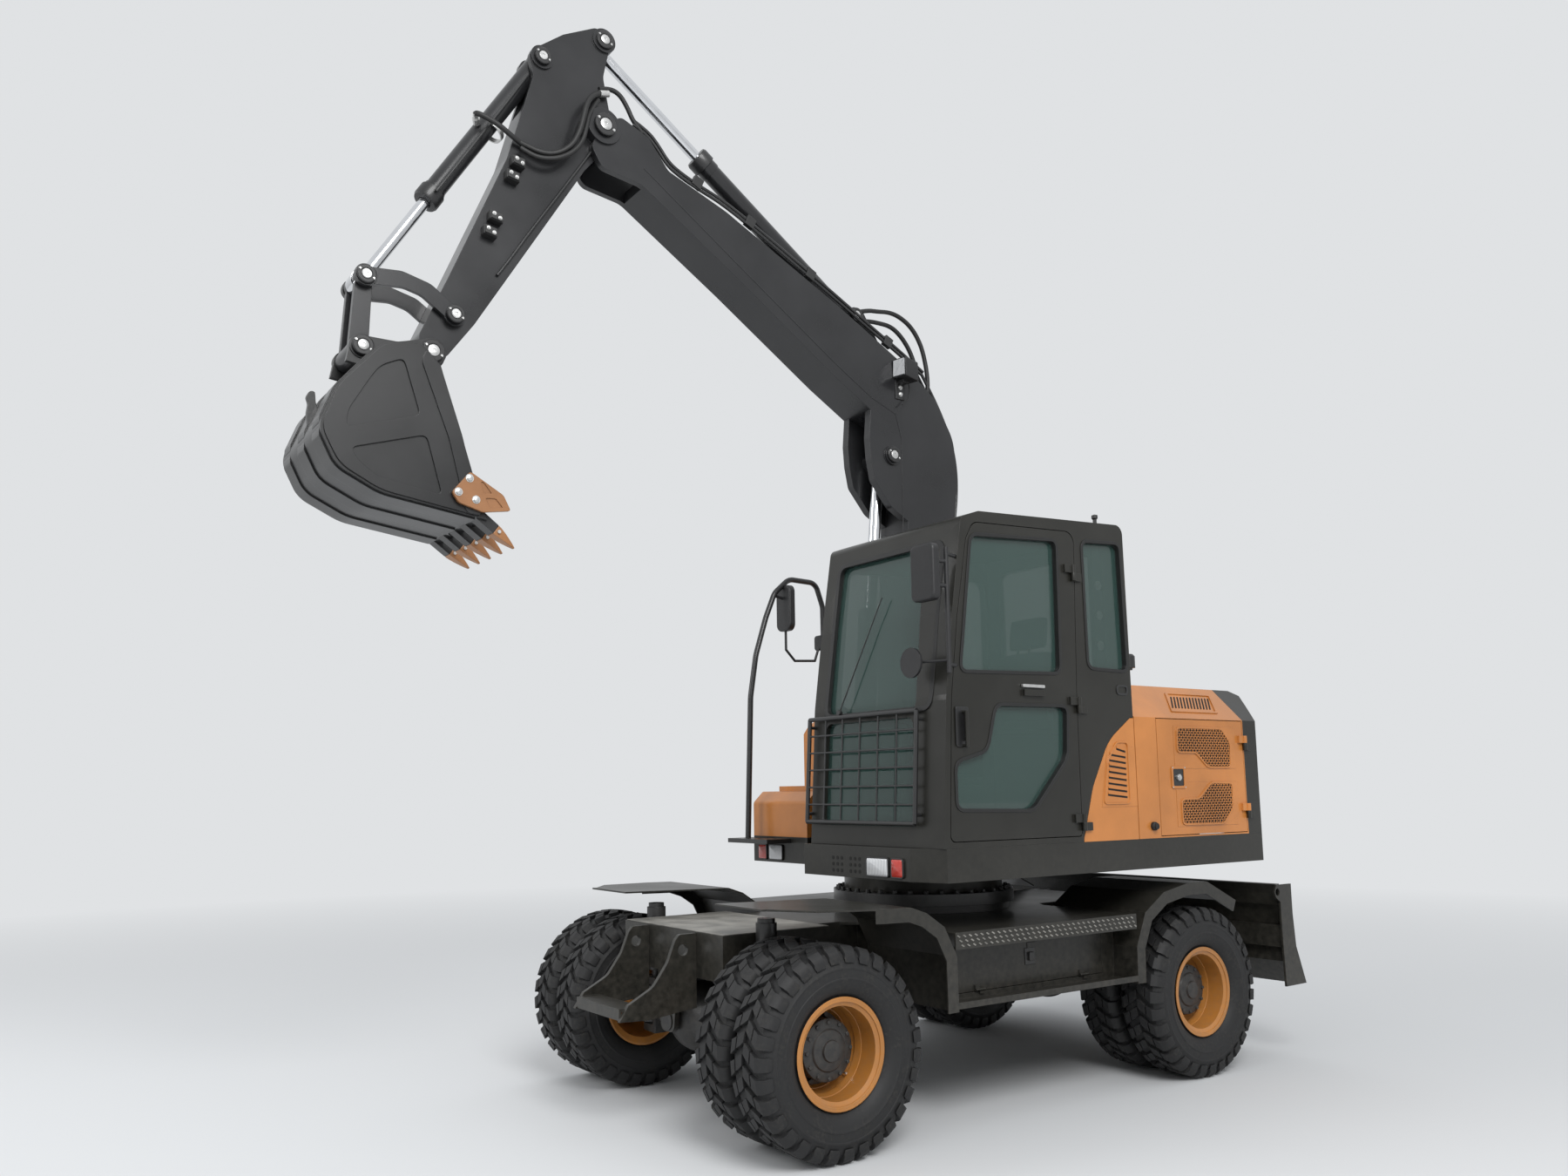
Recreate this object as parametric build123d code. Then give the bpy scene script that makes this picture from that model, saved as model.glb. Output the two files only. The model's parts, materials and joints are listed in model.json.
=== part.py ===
"""Wheeled excavator: a dual-tyred carrier with steered front axle and rear blade,
a slewing house with cab and engine bay, and a one-piece boom with stick and bucket.

Millimetres, +X forward, +Y to the operator's left, +Z up.  While it is modelled the slewing axis
is x = 0, y = 0 and the ground is z = 0; export_all() then moves the origin to the middle of the
machine's box, on the ground.
"""

import os
from math import atan2, cos, degrees, hypot, pi, radians, sin

from build123d import *

# ---- running gear
WHEEL_RADIUS = 432.5
TYRE_WIDTH = 235
TYRE_FACETS = 28
DUAL_SPACING = 270
FRONT_AXLE_X = 1408
REAR_AXLE_X = -994.5
OUTER_TYRE_Y = 952.5
RIM_RADIUS = 228
RIM_SEAT_RADIUS = 203
RIM_WIDTH = 176
RIM_LIP = 14
HUB_RADIUS = 108
SPINDLE_RADIUS = 55
KINGPIN_Y = 530
KINGPIN_RADIUS = 25
BALL_Y = -35
BALL_RADIUS = 165
AXLE_TUBE_RADIUS = 80
TIE_ROD_X = -180
TIE_ROD_DROP = 102
TIE_ROD_RADIUS = 18
# ---- carrier
DECK_TOP = 865
BEAM_HALF = 330
SADDLE_Y = 330
SADDLE_WIDTH = 48
CARRIER_REAR_X = -1165
HEAD_HALF = 455
HEAD_FRONT_X = 1605
STEP_SIDE_Y = 1030
STEP_FRONT_X = 745
STEP_REAR_X = -498
STEP_LOW = 533
BOX_FACE_Y = 880
FENDER_TOP = 985
SHEET = 8
RING_OUTER = 490
RING_RADIUS = 452
RING_LOW = 905
RACE_TOP = 965
# ---- blade
BLADE_HALF = 1070
BLADE_TOP = 945
BLADE_LOW = 390
BLADE_ARM_Y = 290
BLADE_PIVOT = (-1350, 420)
BLADE_EYE = (-1661, 638)
BLADE_LINK_RISE = 170
BLADE_CYL_BASE = (-1215, 790)
BLADE_CYL_EYE = (-1662, 560)
# ---- house
HOUSE_HALF = 1060
RAIL_LOW = 1085
RAIL_TOP = 1235
CAB_RIGHT_Y = 80
CAB_WALL = 45
HOUSE_FRONT_X = 867
SIDE_FRONT_X = 400
HOOD_TOP = 2040
HOOD_SIDE_TOP = 1855
BAY_FRONT_X = -690
BAY_REAR_X = -1450
TAIL_RADIUS = 1895
# ---- arm: pins as (x, z) in the boom's plane
BOOM_Y = -120
FOOT = (30, 1600)
BOOM_CYL_BASE = (360, 1190)
BOOM_CYL_EYE = (135, 3390)
STICK_PIN = (1967, 4790)
ARM_CYL_BASE = (348, 4187)
ARM_CYL_EYE = (1947, 5274)
BUCKET_CYL_BASE = (2283, 5065)
LINK_TOP = (3105, 3749)
ROCKER_PIN = (2706, 3655)
BUCKET_PIN = (2816, 3451)
LINK_PIN = (3122, 3414)
BOOM_HALF = 121
STICK_HALF = 80
BUCKET_HALF = 315
PIN_RADIUS = 30
PIN_PLAY = 0.05
FIT = 0.3

nodes = {}


# ---- shape helpers
def box(x, y, z):
    """A block between two x values, two y values and two z values."""
    size = (x[1] - x[0], y[1] - y[0], z[1] - z[0])
    middle = ((x[0] + x[1]) / 2, (y[0] + y[1]) / 2, (z[0] + z[1]) / 2)
    return Pos(*middle) * Box(*size)


def outline(points, rounds=0):
    if rounds:
        return make_face(FilletPolyline(*points, radius=rounds, close=True))
    return make_face(Polyline(*points, close=True))


def side_plate(points, y, rounds=0):
    """A plate lying in XZ, between two y values."""
    plane = Plane(origin=(0, y[1], 0), x_dir=(1, 0, 0), z_dir=(0, -1, 0))
    return extrude(plane * outline(points, rounds), amount=y[1] - y[0])


def flat_plate(points, z, rounds=0):
    """A plate lying in XY, between two z values."""
    return extrude(Pos(0, 0, z[0]) * outline(points, rounds), amount=z[1] - z[0])


def cross_plate(points, x, rounds=0):
    """A plate lying in YZ, between two x values."""
    plane = Plane(origin=(x[0], 0, 0), x_dir=(0, 1, 0), z_dir=(1, 0, 0))
    return extrude(plane * outline(points, rounds), amount=x[1] - x[0])


def bar(start, end, radius):
    """A round bar between two points."""
    run = Vector(*end) - Vector(*start)
    plane = Plane(origin=start, z_dir=run.normalized())
    return extrude(plane * Circle(radius), amount=run.length)


def pin_y(place, radius, y):
    """A round bar along Y at an (x, z) place."""
    return bar((place[0], y[0], place[1]), (place[0], y[1], place[1]), radius)


def turned_y(profile, place):
    """A solid of revolution about a line along Y, from (radius, y) points."""
    plane = Plane(origin=(place[0], 0, place[1]), x_dir=(1, 0, 0), z_dir=(0, 0, 1))
    face = plane * make_face(Polyline(*profile, close=True))
    return revolve(face, Axis((place[0], 0, place[1]), (0, 1, 0)), 360)


def mirrored(shape):
    return mirror(shape, Plane.XZ)


def boom_y(low, high):
    return (BOOM_Y + low, BOOM_Y + high)


def pair(make):
    """Two like pieces, one each side of the boom's plane."""
    return make(1) + make(-1)


def layer(side, inner, outer):
    """The y span of a plate on one side of the boom's plane."""
    a, b = BOOM_Y + side * inner, BOOM_Y + side * outer
    return (min(a, b), max(a, b))


def along(start, end, distance, aside=0):
    """A point on the line from start to end, and aside from it to the left."""
    dx, dz = end[0] - start[0], end[1] - start[1]
    length = hypot(dx, dz)
    ux, uz = dx / length, dz / length
    return (start[0] + ux * distance - uz * aside, start[1] + uz * distance + ux * aside)


def inset(points, distance):
    """An open line of points moved sideways, to its right, with mitred corners."""
    moved = []
    for i, (x, z) in enumerate(points):
        before = points[max(i - 1, 0)]
        after = points[min(i + 1, len(points) - 1)]
        into = (x - before[0], z - before[1]) if i else (after[0] - x, after[1] - z)
        out = (after[0] - x, after[1] - z) if i < len(points) - 1 else into
        a, b = atan2(into[1], into[0]), atan2(out[1], out[0])
        half = ((b - a + pi) % (2 * pi) - pi) / 2
        turn = a + half - pi / 2
        reach = distance / cos(half)
        moved.append((x + reach * cos(turn), z + reach * sin(turn)))
    return moved


def hinge_knuckles(middle, direction, half, radius=12, pin=6):
    """The fixed knuckle with its pin, and the bored knuckle that turns on it."""
    run = Vector(*direction).normalized()
    spot = Vector(*middle)
    fixed = bar(tuple(spot - run * half), tuple(spot), radius)
    fixed += bar(tuple(spot - run), tuple(spot + run * (half - 2)), pin)
    moving = bar(tuple(spot + run * FIT), tuple(spot + run * half), radius)
    moving -= bar(tuple(spot - run), tuple(spot + run * (half + 1)), pin + PIN_PLAY)
    return fixed, moving


# ---- wheels
def faceted_ring(profile, middle):
    """A closed ring of flat facets about a line along Y, from its (radius, y) section."""
    corner = 1 / cos(pi / TYRE_FACETS)
    turns = [2 * pi * (i + 0.5) / TYRE_FACETS - pi / 2 for i in range(TYRE_FACETS + 1)]
    hoops = [
        [Vector(middle[0] + r * corner * cos(a), middle[1] + y, middle[2] + r * corner * sin(a)) for a in turns]
        for r, y in profile + profile[:1]
    ]
    facets = []
    for near, far in zip(hoops, hoops[1:]):
        for i in range(TYRE_FACETS):
            facets.append(Face(Wire.make_polygon([near[i], near[i + 1], far[i + 1], far[i]])))
    return Solid(Shell(facets))


def tyre(x, y):
    """One tyre: crown, shoulders and sidewalls of a carcass seated on the rim between its lips."""
    half = TYRE_WIDTH / 2
    bead = RIM_WIDTH / 2 - RIM_LIP - FIT
    side = [
        (WHEEL_RADIUS, half - 32),
        (WHEEL_RADIUS - 38, half - 8),
        (WHEEL_RADIUS - 110, half),
        (RIM_RADIUS + FIT, bead),
        (RIM_SEAT_RADIUS + FIT, bead),
    ]
    return faceted_ring(side + [(r, -w) for r, w in side[::-1]], (x, y, WHEEL_RADIUS))


def rim_half(outward, y):
    """The (radius, y) profile of one rim: lips, seat, drop centre and dished disc."""
    half = RIM_WIDTH / 2
    disc = OUTER_TYRE_Y - DUAL_SPACING / 2
    face = disc + outward * 10
    return [
        (RIM_RADIUS, y + outward * half),
        (RIM_SEAT_RADIUS, y + outward * (half - 14)),
        (RIM_SEAT_RADIUS, y - outward * (half - 14)),
        (RIM_RADIUS, y - outward * half),
        (RIM_RADIUS - 10, y - outward * half),
        (RIM_SEAT_RADIUS - 14, y - outward * (half - 16)),
        (HUB_RADIUS + 40, disc),
        (HUB_RADIUS + 0.3, disc),
        (HUB_RADIUS + 0.3, face),
        (HUB_RADIUS + 34, face),
        (RIM_SEAT_RADIUS - 14, y - outward * (half - 34)),
        (RIM_SEAT_RADIUS - 14, y + outward * (half - 14)),
        (RIM_RADIUS - 10, y + outward * half),
    ]


def wheel(name, x, side):
    place = (x, WHEEL_RADIUS)
    rims = turned_y(rim_half(1, OUTER_TYRE_Y), place)
    rims += turned_y(rim_half(-1, OUTER_TYRE_Y - DUAL_SPACING), place)
    inner = OUTER_TYRE_Y - DUAL_SPACING
    disc = OUTER_TYRE_Y - DUAL_SPACING / 2
    bore = SPINDLE_RADIUS + PIN_PLAY
    hub = turned_y(
        [
            (bore, KINGPIN_Y + 75),
            (95, KINGPIN_Y + 75),
            (HUB_RADIUS, KINGPIN_Y + 110),
            (HUB_RADIUS, disc - 40),
            (HUB_RADIUS + 30, disc - 40),
            (HUB_RADIUS + 30, disc - 10.3),
            (HUB_RADIUS, disc - 10.3),
            (HUB_RADIUS, OUTER_TYRE_Y - 60),
            (HUB_RADIUS + 14, OUTER_TYRE_Y - 58),
            (HUB_RADIUS + 14, OUTER_TYRE_Y - 22),
            (HUB_RADIUS - 8, OUTER_TYRE_Y - 12),
            (62, OUTER_TYRE_Y - 6),
            (48, OUTER_TYRE_Y + 14),
            (0, OUTER_TYRE_Y + 18),
            (0, KINGPIN_Y + 245),
            (bore, KINGPIN_Y + 245),
        ],
        place,
    )
    tyres = [tyre(x, OUTER_TYRE_Y), tyre(x, inner)]
    if side < 0:
        rims, hub = mirrored(rims), mirrored(hub)
        tyres = [mirrored(t) for t in tyres]
    nodes["rims_" + name] = [rims, hub]
    nodes["tyres_" + name] = tyres


for wheel_name, wheel_x, wheel_side in (
    ("front_left", FRONT_AXLE_X, 1),
    ("front_right", FRONT_AXLE_X, -1),
    ("rear_left", REAR_AXLE_X, 1),
    ("rear_right", REAR_AXLE_X, -1),
):
    wheel(wheel_name, wheel_x, wheel_side)


# ---- axles
def axle_beam(x, reach):
    """The banjo housing: a ball with a tapering tube to each end."""
    z = WHEEL_RADIUS
    beam = Pos(x, BALL_Y, z) * Sphere(BALL_RADIUS)
    beam += bar((x, -reach, z), (x, reach, z), AXLE_TUBE_RADIUS)
    for side in (1, -1):
        root = Plane(origin=(x, BALL_Y + side * 90, z), z_dir=(0, side, 0))
        neck = root * Circle(135)
        tip = root.offset(150) * Circle(AXLE_TUBE_RADIUS)
        beam += loft([neck, tip])
    return beam


def front_axle():
    beam = axle_beam(FRONT_AXLE_X, KINGPIN_Y - 100)
    z = WHEEL_RADIUS
    for side in (1, -1):
        y_in, y_pin = side * (KINGPIN_Y - 125), side * KINGPIN_Y
        yoke = box(
            (FRONT_AXLE_X - 55, FRONT_AXLE_X + 55),
            sorted((y_in, side * (KINGPIN_Y - 98))),
            (z - 135, z + 135),
        )
        for low, high in ((-135, -98), (98, 135)):
            ear = flat_plate(
                [
                    (FRONT_AXLE_X - 55, y_in),
                    (FRONT_AXLE_X + 55, y_in),
                    (FRONT_AXLE_X + 45, y_pin),
                    (FRONT_AXLE_X - 45, y_pin),
                ],
                (z + low, z + high),
            )
            ear += bar((FRONT_AXLE_X, y_pin, z + low), (FRONT_AXLE_X, y_pin, z + high), 45)
            yoke += ear
        yoke -= bar(
            (FRONT_AXLE_X, y_pin, z - 140), (FRONT_AXLE_X, y_pin, z + 140), KINGPIN_RADIUS + PIN_PLAY
        )
        beam += yoke
    trunnion = BALL_RADIUS + 38
    beam += bar((FRONT_AXLE_X - trunnion, BALL_Y, z), (FRONT_AXLE_X + trunnion, BALL_Y, z), 45)
    # the double-ended steering ram is bolted under the housing, behind it
    ram = (FRONT_AXLE_X + TIE_ROD_X, z - TIE_ROD_DROP)
    beam += pin_y(ram, 42, (-230, 230)) - pin_y(ram, TIE_ROD_RADIUS + PIN_PLAY, (-231, 231))
    for side in (1, -1):
        foot = box(
            (FRONT_AXLE_X + TIE_ROD_X, FRONT_AXLE_X - 40),
            sorted((side * 190, side * 222)),
            (z - TIE_ROD_DROP + 24, z - 20),
        )
        beam += foot - pin_y(ram, 41, (-231, 231))
    return beam


nodes["front_axle"] = front_axle()


def rear_axle():
    beam = axle_beam(REAR_AXLE_X, KINGPIN_Y + 30)
    for side in (1, -1):
        ends = sorted((side * (KINGPIN_Y + 30), side * (KINGPIN_Y + 240)))
        beam += pin_y((REAR_AXLE_X, WHEEL_RADIUS), SPINDLE_RADIUS, ends)
    return beam


nodes["rear_axle"] = rear_axle()


def knuckle(side):
    z = WHEEL_RADIUS
    y = side * KINGPIN_Y
    body = bar((FRONT_AXLE_X, y, z - 90), (FRONT_AXLE_X, y, z + 90), 68)
    body += bar((FRONT_AXLE_X, y, z - 133), (FRONT_AXLE_X, y, z + 133), KINGPIN_RADIUS)
    body += pin_y((FRONT_AXLE_X, z), 78, sorted((y, side * (KINGPIN_Y + 70))))
    body += pin_y((FRONT_AXLE_X, z), SPINDLE_RADIUS, sorted((y, side * (KINGPIN_Y + 240))))
    eye = (FRONT_AXLE_X + TIE_ROD_X, side * (KINGPIN_Y - 10))
    arm_z = (z - TIE_ROD_DROP + 22, z - TIE_ROD_DROP + 46)
    arm = flat_plate(
        [
            (FRONT_AXLE_X, y - 30),
            (FRONT_AXLE_X, y + 30),
            (eye[0], eye[1] + 22),
            (eye[0], eye[1] - 22),
        ],
        arm_z,
    )
    arm += bar((*eye, arm_z[0]), (*eye, arm_z[1]), 26)
    return body + arm


nodes["knuckle_left"] = knuckle(1)
nodes["knuckle_right"] = knuckle(-1)

ram_place = (FRONT_AXLE_X + TIE_ROD_X, WHEEL_RADIUS - TIE_ROD_DROP)
steering_rod = pin_y(ram_place, TIE_ROD_RADIUS, (-KINGPIN_Y + 30, KINGPIN_Y - 30))
for rod_side in (1, -1):
    eye_y = rod_side * (KINGPIN_Y - 10)
    low = ram_place[1] - 12
    steering_rod += bar((ram_place[0], eye_y, low), (ram_place[0], eye_y, low + 34 - FIT), 26)
nodes["steering_rod"] = steering_rod


# ---- carrier frame
def carrier_frame():
    top = DECK_TOP
    beam = box((CARRIER_REAR_X, 1180), (-BEAM_HALF, BEAM_HALF), (560, top - 15))
    beam += box((1180, HEAD_FRONT_X), (-BEAM_HALF, BEAM_HALF), (660, top - 15))
    beam += box((HEAD_FRONT_X - 180, HEAD_FRONT_X), (-HEAD_HALF, HEAD_HALF), (660, top - 15))
    # room for the two axle housings under the beam
    beam -= box((REAR_AXLE_X - 200, REAR_AXLE_X + 200), (-BEAM_HALF - 1, BEAM_HALF + 1), (550, 640))
    beam += flat_plate(
        [
            (HEAD_FRONT_X, -HEAD_HALF),
            (HEAD_FRONT_X, HEAD_HALF),
            (HEAD_FRONT_X - 180, HEAD_HALF),
            (HEAD_FRONT_X - 300, BEAM_HALF),
            (STEP_FRONT_X + 100, BEAM_HALF),
            (STEP_FRONT_X, 420),
            (STEP_REAR_X, 420),
            (STEP_REAR_X - 60, BEAM_HALF),
            (CARRIER_REAR_X, BEAM_HALF),
            (CARRIER_REAR_X, -BEAM_HALF),
            (STEP_REAR_X - 60, -BEAM_HALF),
            (STEP_REAR_X, -420),
            (STEP_FRONT_X, -420),
            (STEP_FRONT_X + 100, -BEAM_HALF),
            (HEAD_FRONT_X - 300, -BEAM_HALF),
            (HEAD_FRONT_X - 180, -HEAD_HALF),
        ],
        (top - 15, top),
    )
    # the rear axle is clamped under two saddles
    for y in (-SADDLE_Y, SADDLE_Y - SADDLE_WIDTH):
        saddle = box((REAR_AXLE_X - 75, REAR_AXLE_X + 75), (y, y + SADDLE_WIDTH), (WHEEL_RADIUS, 640))
        beam += saddle - pin_y((REAR_AXLE_X, WHEEL_RADIUS), AXLE_TUBE_RADIUS + FIT, (-500, 500))
    # the front axle swings between two hangers
    for side in (1, -1):
        x = sorted(FRONT_AXLE_X + side * reach for reach in (BALL_RADIUS + 8, BALL_RADIUS + 33))
        hanger = cross_plate(
            [(BALL_Y - 90, 661), (BALL_Y - 60, 382), (BALL_Y + 60, 382), (BALL_Y + 90, 661)],
            x,
            rounds=[0, 40, 40, 0],
        )
        hanger -= bar((x[0] - 1, BALL_Y, WHEEL_RADIUS), (x[1] + 1, BALL_Y, WHEEL_RADIUS), 45 + PIN_PLAY)
        beam += hanger
    return beam


nodes["carrier_frame"] = carrier_frame()


def front_bracket():
    """Two gusset plates with a tie-down hole each, and the step between them."""
    face, top = HEAD_FRONT_X + 0.3, DECK_TOP - 5
    plates = None
    for side in (1, -1):
        y = sorted((side * 210, side * 232))
        plate = side_plate(
            [
                (face, 528),
                (face + 250, 500),
                (face + 395, 506),
                (face + 350, 575),
                (face + 225, 640),
                (face + 150, 740),
                (face + 112, 835),
                (face + 90, top),
                (face, top),
            ],
            y,
            rounds=[0, 0, 0, 10, 90, 120, 40, 20, 0],
        )
        plate -= pin_y((face + 72, 790), 26, y)
        plates = plate if plates is None else plates + plate
    plates += box((face + 270, face + 385), (-210, 210), (545, 560))
    plates += box((face + 375, face + 387), (-210, 210), (510, 560))
    return plates


nodes["front_bracket"] = front_bracket()


def axle_locks():
    """The two upright cylinders that clamp the front axle for digging."""
    locks = []
    for side in (1, -1):
        y = side * 500
        lock = bar((FRONT_AXLE_X - 8, y, 600), (FRONT_AXLE_X - 8, y, 915), 48)
        lock += bar((FRONT_AXLE_X - 8, y, WHEEL_RADIUS + 135.3), (FRONT_AXLE_X - 8, y, 600), 26)
        lock += bar((FRONT_AXLE_X - 8, y, 915), (FRONT_AXLE_X - 8, y, 935), 40)
        ends = sorted((side * (BEAM_HALF + 0.3), side * 470))
        lock += box((FRONT_AXLE_X - 40, FRONT_AXLE_X + 10), ends, (700, 845))
        locks.append(lock)
    return locks


nodes["axle_locks"] = axle_locks()


def step_deck(side):
    """Side step and toolbox with the fender arches at both ends."""
    wall = SHEET
    y_in, y_out = BEAM_HALF + 0.3, STEP_SIDE_Y
    tread = box((STEP_REAR_X, STEP_FRONT_X), (421, y_out), (DECK_TOP - wall, DECK_TOP))
    deck = tread
    deck += box((STEP_REAR_X, STEP_FRONT_X), (y_out - wall, y_out), (DECK_TOP - 75, DECK_TOP))
    deck += box((STEP_REAR_X, STEP_FRONT_X), (y_in, BOX_FACE_Y), (STEP_LOW, STEP_LOW + wall))
    deck += box((STEP_REAR_X, STEP_FRONT_X), (y_in, y_in + wall), (STEP_LOW, DECK_TOP - 15.3))
    deck += box((STEP_REAR_X, STEP_FRONT_X), (BOX_FACE_Y, y_out), (STEP_LOW, STEP_LOW + wall))
    deck += box((STEP_REAR_X, STEP_FRONT_X), (y_out - wall, y_out), (STEP_LOW, STEP_LOW + 28))
    face = box((STEP_REAR_X, STEP_FRONT_X), (BOX_FACE_Y - wall, BOX_FACE_Y), (STEP_LOW, DECK_TOP))
    if side > 0:
        face -= box(TOOLBOX_X, (BOX_FACE_Y - wall - 1, BOX_FACE_Y + 1), TOOLBOX_Z)
    deck += face
    # fender sheets: front and rear arches, swept as thick strips across the tyres' width
    front = [
        (STEP_FRONT_X, STEP_LOW - 12),
        (STEP_FRONT_X + 2, 760),
        (STEP_FRONT_X + 70, 890),
        (STEP_FRONT_X + 170, 955),
        (STEP_FRONT_X + 260, FENDER_TOP),
        (FRONT_AXLE_X + 215, FENDER_TOP + 14),
    ]
    rear = [
        (STEP_REAR_X, STEP_LOW - 12),
        (STEP_REAR_X - 4, 700),
        (STEP_REAR_X - 80, 860),
        (STEP_REAR_X - 230, 950),
        (STEP_REAR_X - 430, FENDER_TOP),
        (STEP_REAR_X - 590, FENDER_TOP),
        (STEP_REAR_X - 835, 872),
    ]
    front_strip = front + inset(front, -SHEET)[::-1]
    rear_strip = rear + inset(rear, SHEET)[::-1]
    for strip, flange in ((front_strip, front), (rear_strip, rear)):
        deck += side_plate(strip, (y_in + 90, y_out))
    edge_front = front + inset(front, 55)[::-1]
    edge_rear = rear + inset(rear, -55)[::-1]
    deck += side_plate(edge_front, (y_out - wall, y_out))
    deck += side_plate(edge_rear, (y_out - wall, y_out))
    # the front fender's outer corner is cut to a sweep
    corner = flat_plate(
        [
            (FRONT_AXLE_X - 250, y_out + 1),
            (FRONT_AXLE_X + 60, y_out - 70),
            (FRONT_AXLE_X + 190, y_out - 240),
            (FRONT_AXLE_X + 240, y_out - 240),
            (FRONT_AXLE_X + 240, y_out + 1),
        ],
        (900, 1100),
    )
    deck -= corner
    return deck if side > 0 else mirrored(deck)


TOOLBOX_X = (STEP_REAR_X + 95, STEP_FRONT_X - 130)
TOOLBOX_Z = (STEP_LOW + 32, DECK_TOP - 85)


TOOLBOX_HINGE = (BOX_FACE_Y + 8, TOOLBOX_Z[0] + 10)
TOOLBOX_HINGE_X = (TOOLBOX_X[0] + 150, TOOLBOX_X[1] - 150)


def toolbox_hinges():
    """Small hinges along the toolbox door's lower edge: the fixed halves, then the door's."""
    y, z = TOOLBOX_HINGE
    fixed, moving = [], []
    for x in TOOLBOX_HINGE_X:
        still, turning = hinge_knuckles((x, y, z), (1, 0, 0), 30, radius=7, pin=3)
        still += box((x - 30, x), (BOX_FACE_Y, y), (z - 22, z - 4))
        turning += box((x + FIT, x + 30), (BOX_FACE_Y, y), (z + 4, z + 22))
        turning -= bar((x - 1, y, z), (x + 31, y, z), 3 + PIN_PLAY)
        fixed.append(still)
        moving.append(turning)
    return fixed, moving


def toolbox_door():
    clear = 3
    door = box(
        (TOOLBOX_X[0] + clear, TOOLBOX_X[1] - clear),
        (BOX_FACE_Y - SHEET, BOX_FACE_Y),
        (TOOLBOX_Z[0] + clear, TOOLBOX_Z[1] - clear),
    )
    middle = (TOOLBOX_X[0] + TOOLBOX_X[1]) / 2
    latch = (TOOLBOX_Z[1] - 100, TOOLBOX_Z[1] - 20)
    door += box((middle - 30, middle + 30), (BOX_FACE_Y, BOX_FACE_Y + 3), latch)
    for part in toolbox_hinges()[1]:
        door += part
    return door


nodes["step_deck_left"] = step_deck(1)
for hinge_half in toolbox_hinges()[0]:
    nodes["step_deck_left"] += hinge_half
nodes["step_deck_right"] = step_deck(-1)
nodes["toolbox_door"] = toolbox_door()


def slew_ring():
    ring = bar((0, 0, DECK_TOP + 0.3), (0, 0, RING_LOW), RING_OUTER - 30)
    ring += bar((0, 0, RING_LOW), (0, 0, RACE_TOP), RING_OUTER)
    ring -= bar((0, 0, 900), (0, 0, 970), 372)
    return ring


nodes["slew_ring"] = slew_ring()

drive_line = bar((-120, BALL_Y, 460), (180, BALL_Y, 460), 84)
drive_line += box((-60, 120), (BALL_Y - 90, BALL_Y + 90), (470, 559.7))
drive_line += bar((84, BALL_Y, 440), (FRONT_AXLE_X - BALL_RADIUS - 38 - FIT, BALL_Y, 440), 34) & box(
    (80, FRONT_AXLE_X - BALL_RADIUS - 38 - FIT), (-500, 500), (0, 900)
)
drive_line += bar((-120, BALL_Y, 455), (REAR_AXLE_X + BALL_RADIUS - 10, BALL_Y, 440), 34) - nodes["rear_axle"]
nodes["drive_line"] = drive_line


# ---- blade
def blade():
    """Curved mouldboard with end plates, a box stiffener and the eyes for its links."""
    front_face = [(-1690, BLADE_TOP), (-1735, 800), (-1748, 650), (-1738, 520), (-1850, BLADE_LOW)]
    back = inset(front_face, 14)
    board = side_plate(front_face + back[::-1], (-BLADE_HALF + 12, BLADE_HALF - 12))
    for side in (1, -1):
        end = side_plate(
            [
                (-1652, 875),
                (-1640, 905),
                (-1660, BLADE_TOP),
                (-1800, BLADE_TOP),
                (-1800, 780),
                (-1815, 600),
                (-1892, BLADE_LOW + 2),
                (-1700, BLADE_LOW),
                (-1690, 700),
                (-1690, 850),
            ],
            sorted((side * (BLADE_HALF - 12), side * BLADE_HALF)),
        )
        end -= pin_y((-1668, 905), 20, sorted((side * (BLADE_HALF - 13), side * (BLADE_HALF + 1))))
        board += end
    eye_x, eye_z = BLADE_EYE
    stiffener = box((-1735, eye_x - 45), (-BLADE_HALF + 12, BLADE_HALF - 12), (600, 720))
    stiffener += box((-1725, eye_x - 45), (-BLADE_HALF + 12, BLADE_HALF - 12), (830, 900))
    board += stiffener
    for side in (1, -1):
        for inner in (BLADE_ARM_Y - 52, BLADE_ARM_Y + 32):
            y = sorted((side * inner, side * (inner + 20)))
            lug = side_plate(
                [
                    (eye_x - 60, eye_z - 50),
                    (eye_x, eye_z - 42),
                    (eye_x + 38, eye_z),
                    (eye_x + 38, eye_z + BLADE_LINK_RISE),
                    (eye_x, eye_z + BLADE_LINK_RISE + 42),
                    (eye_x - 60, eye_z + BLADE_LINK_RISE + 50),
                ],
                y,
            )
            board += lug
        for rise in (0, BLADE_LINK_RISE):
            y = sorted((side * (BLADE_ARM_Y - 52), side * (BLADE_ARM_Y + 52)))
            board += pin_y((eye_x, eye_z + rise), 20, y)
    for side in (1, -1):
        y = sorted((side * 38, side * 54))
        board += side_plate([(-1735, 520), (-1690, 515), (-1636, 545), (-1640, 585), (-1735, 612)], y)
    board += pin_y(BLADE_CYL_EYE, 18, (-54, -33))
    board += pin_y(BLADE_CYL_EYE, 18, (33, 54))
    return board


nodes["blade"] = blade()


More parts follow.
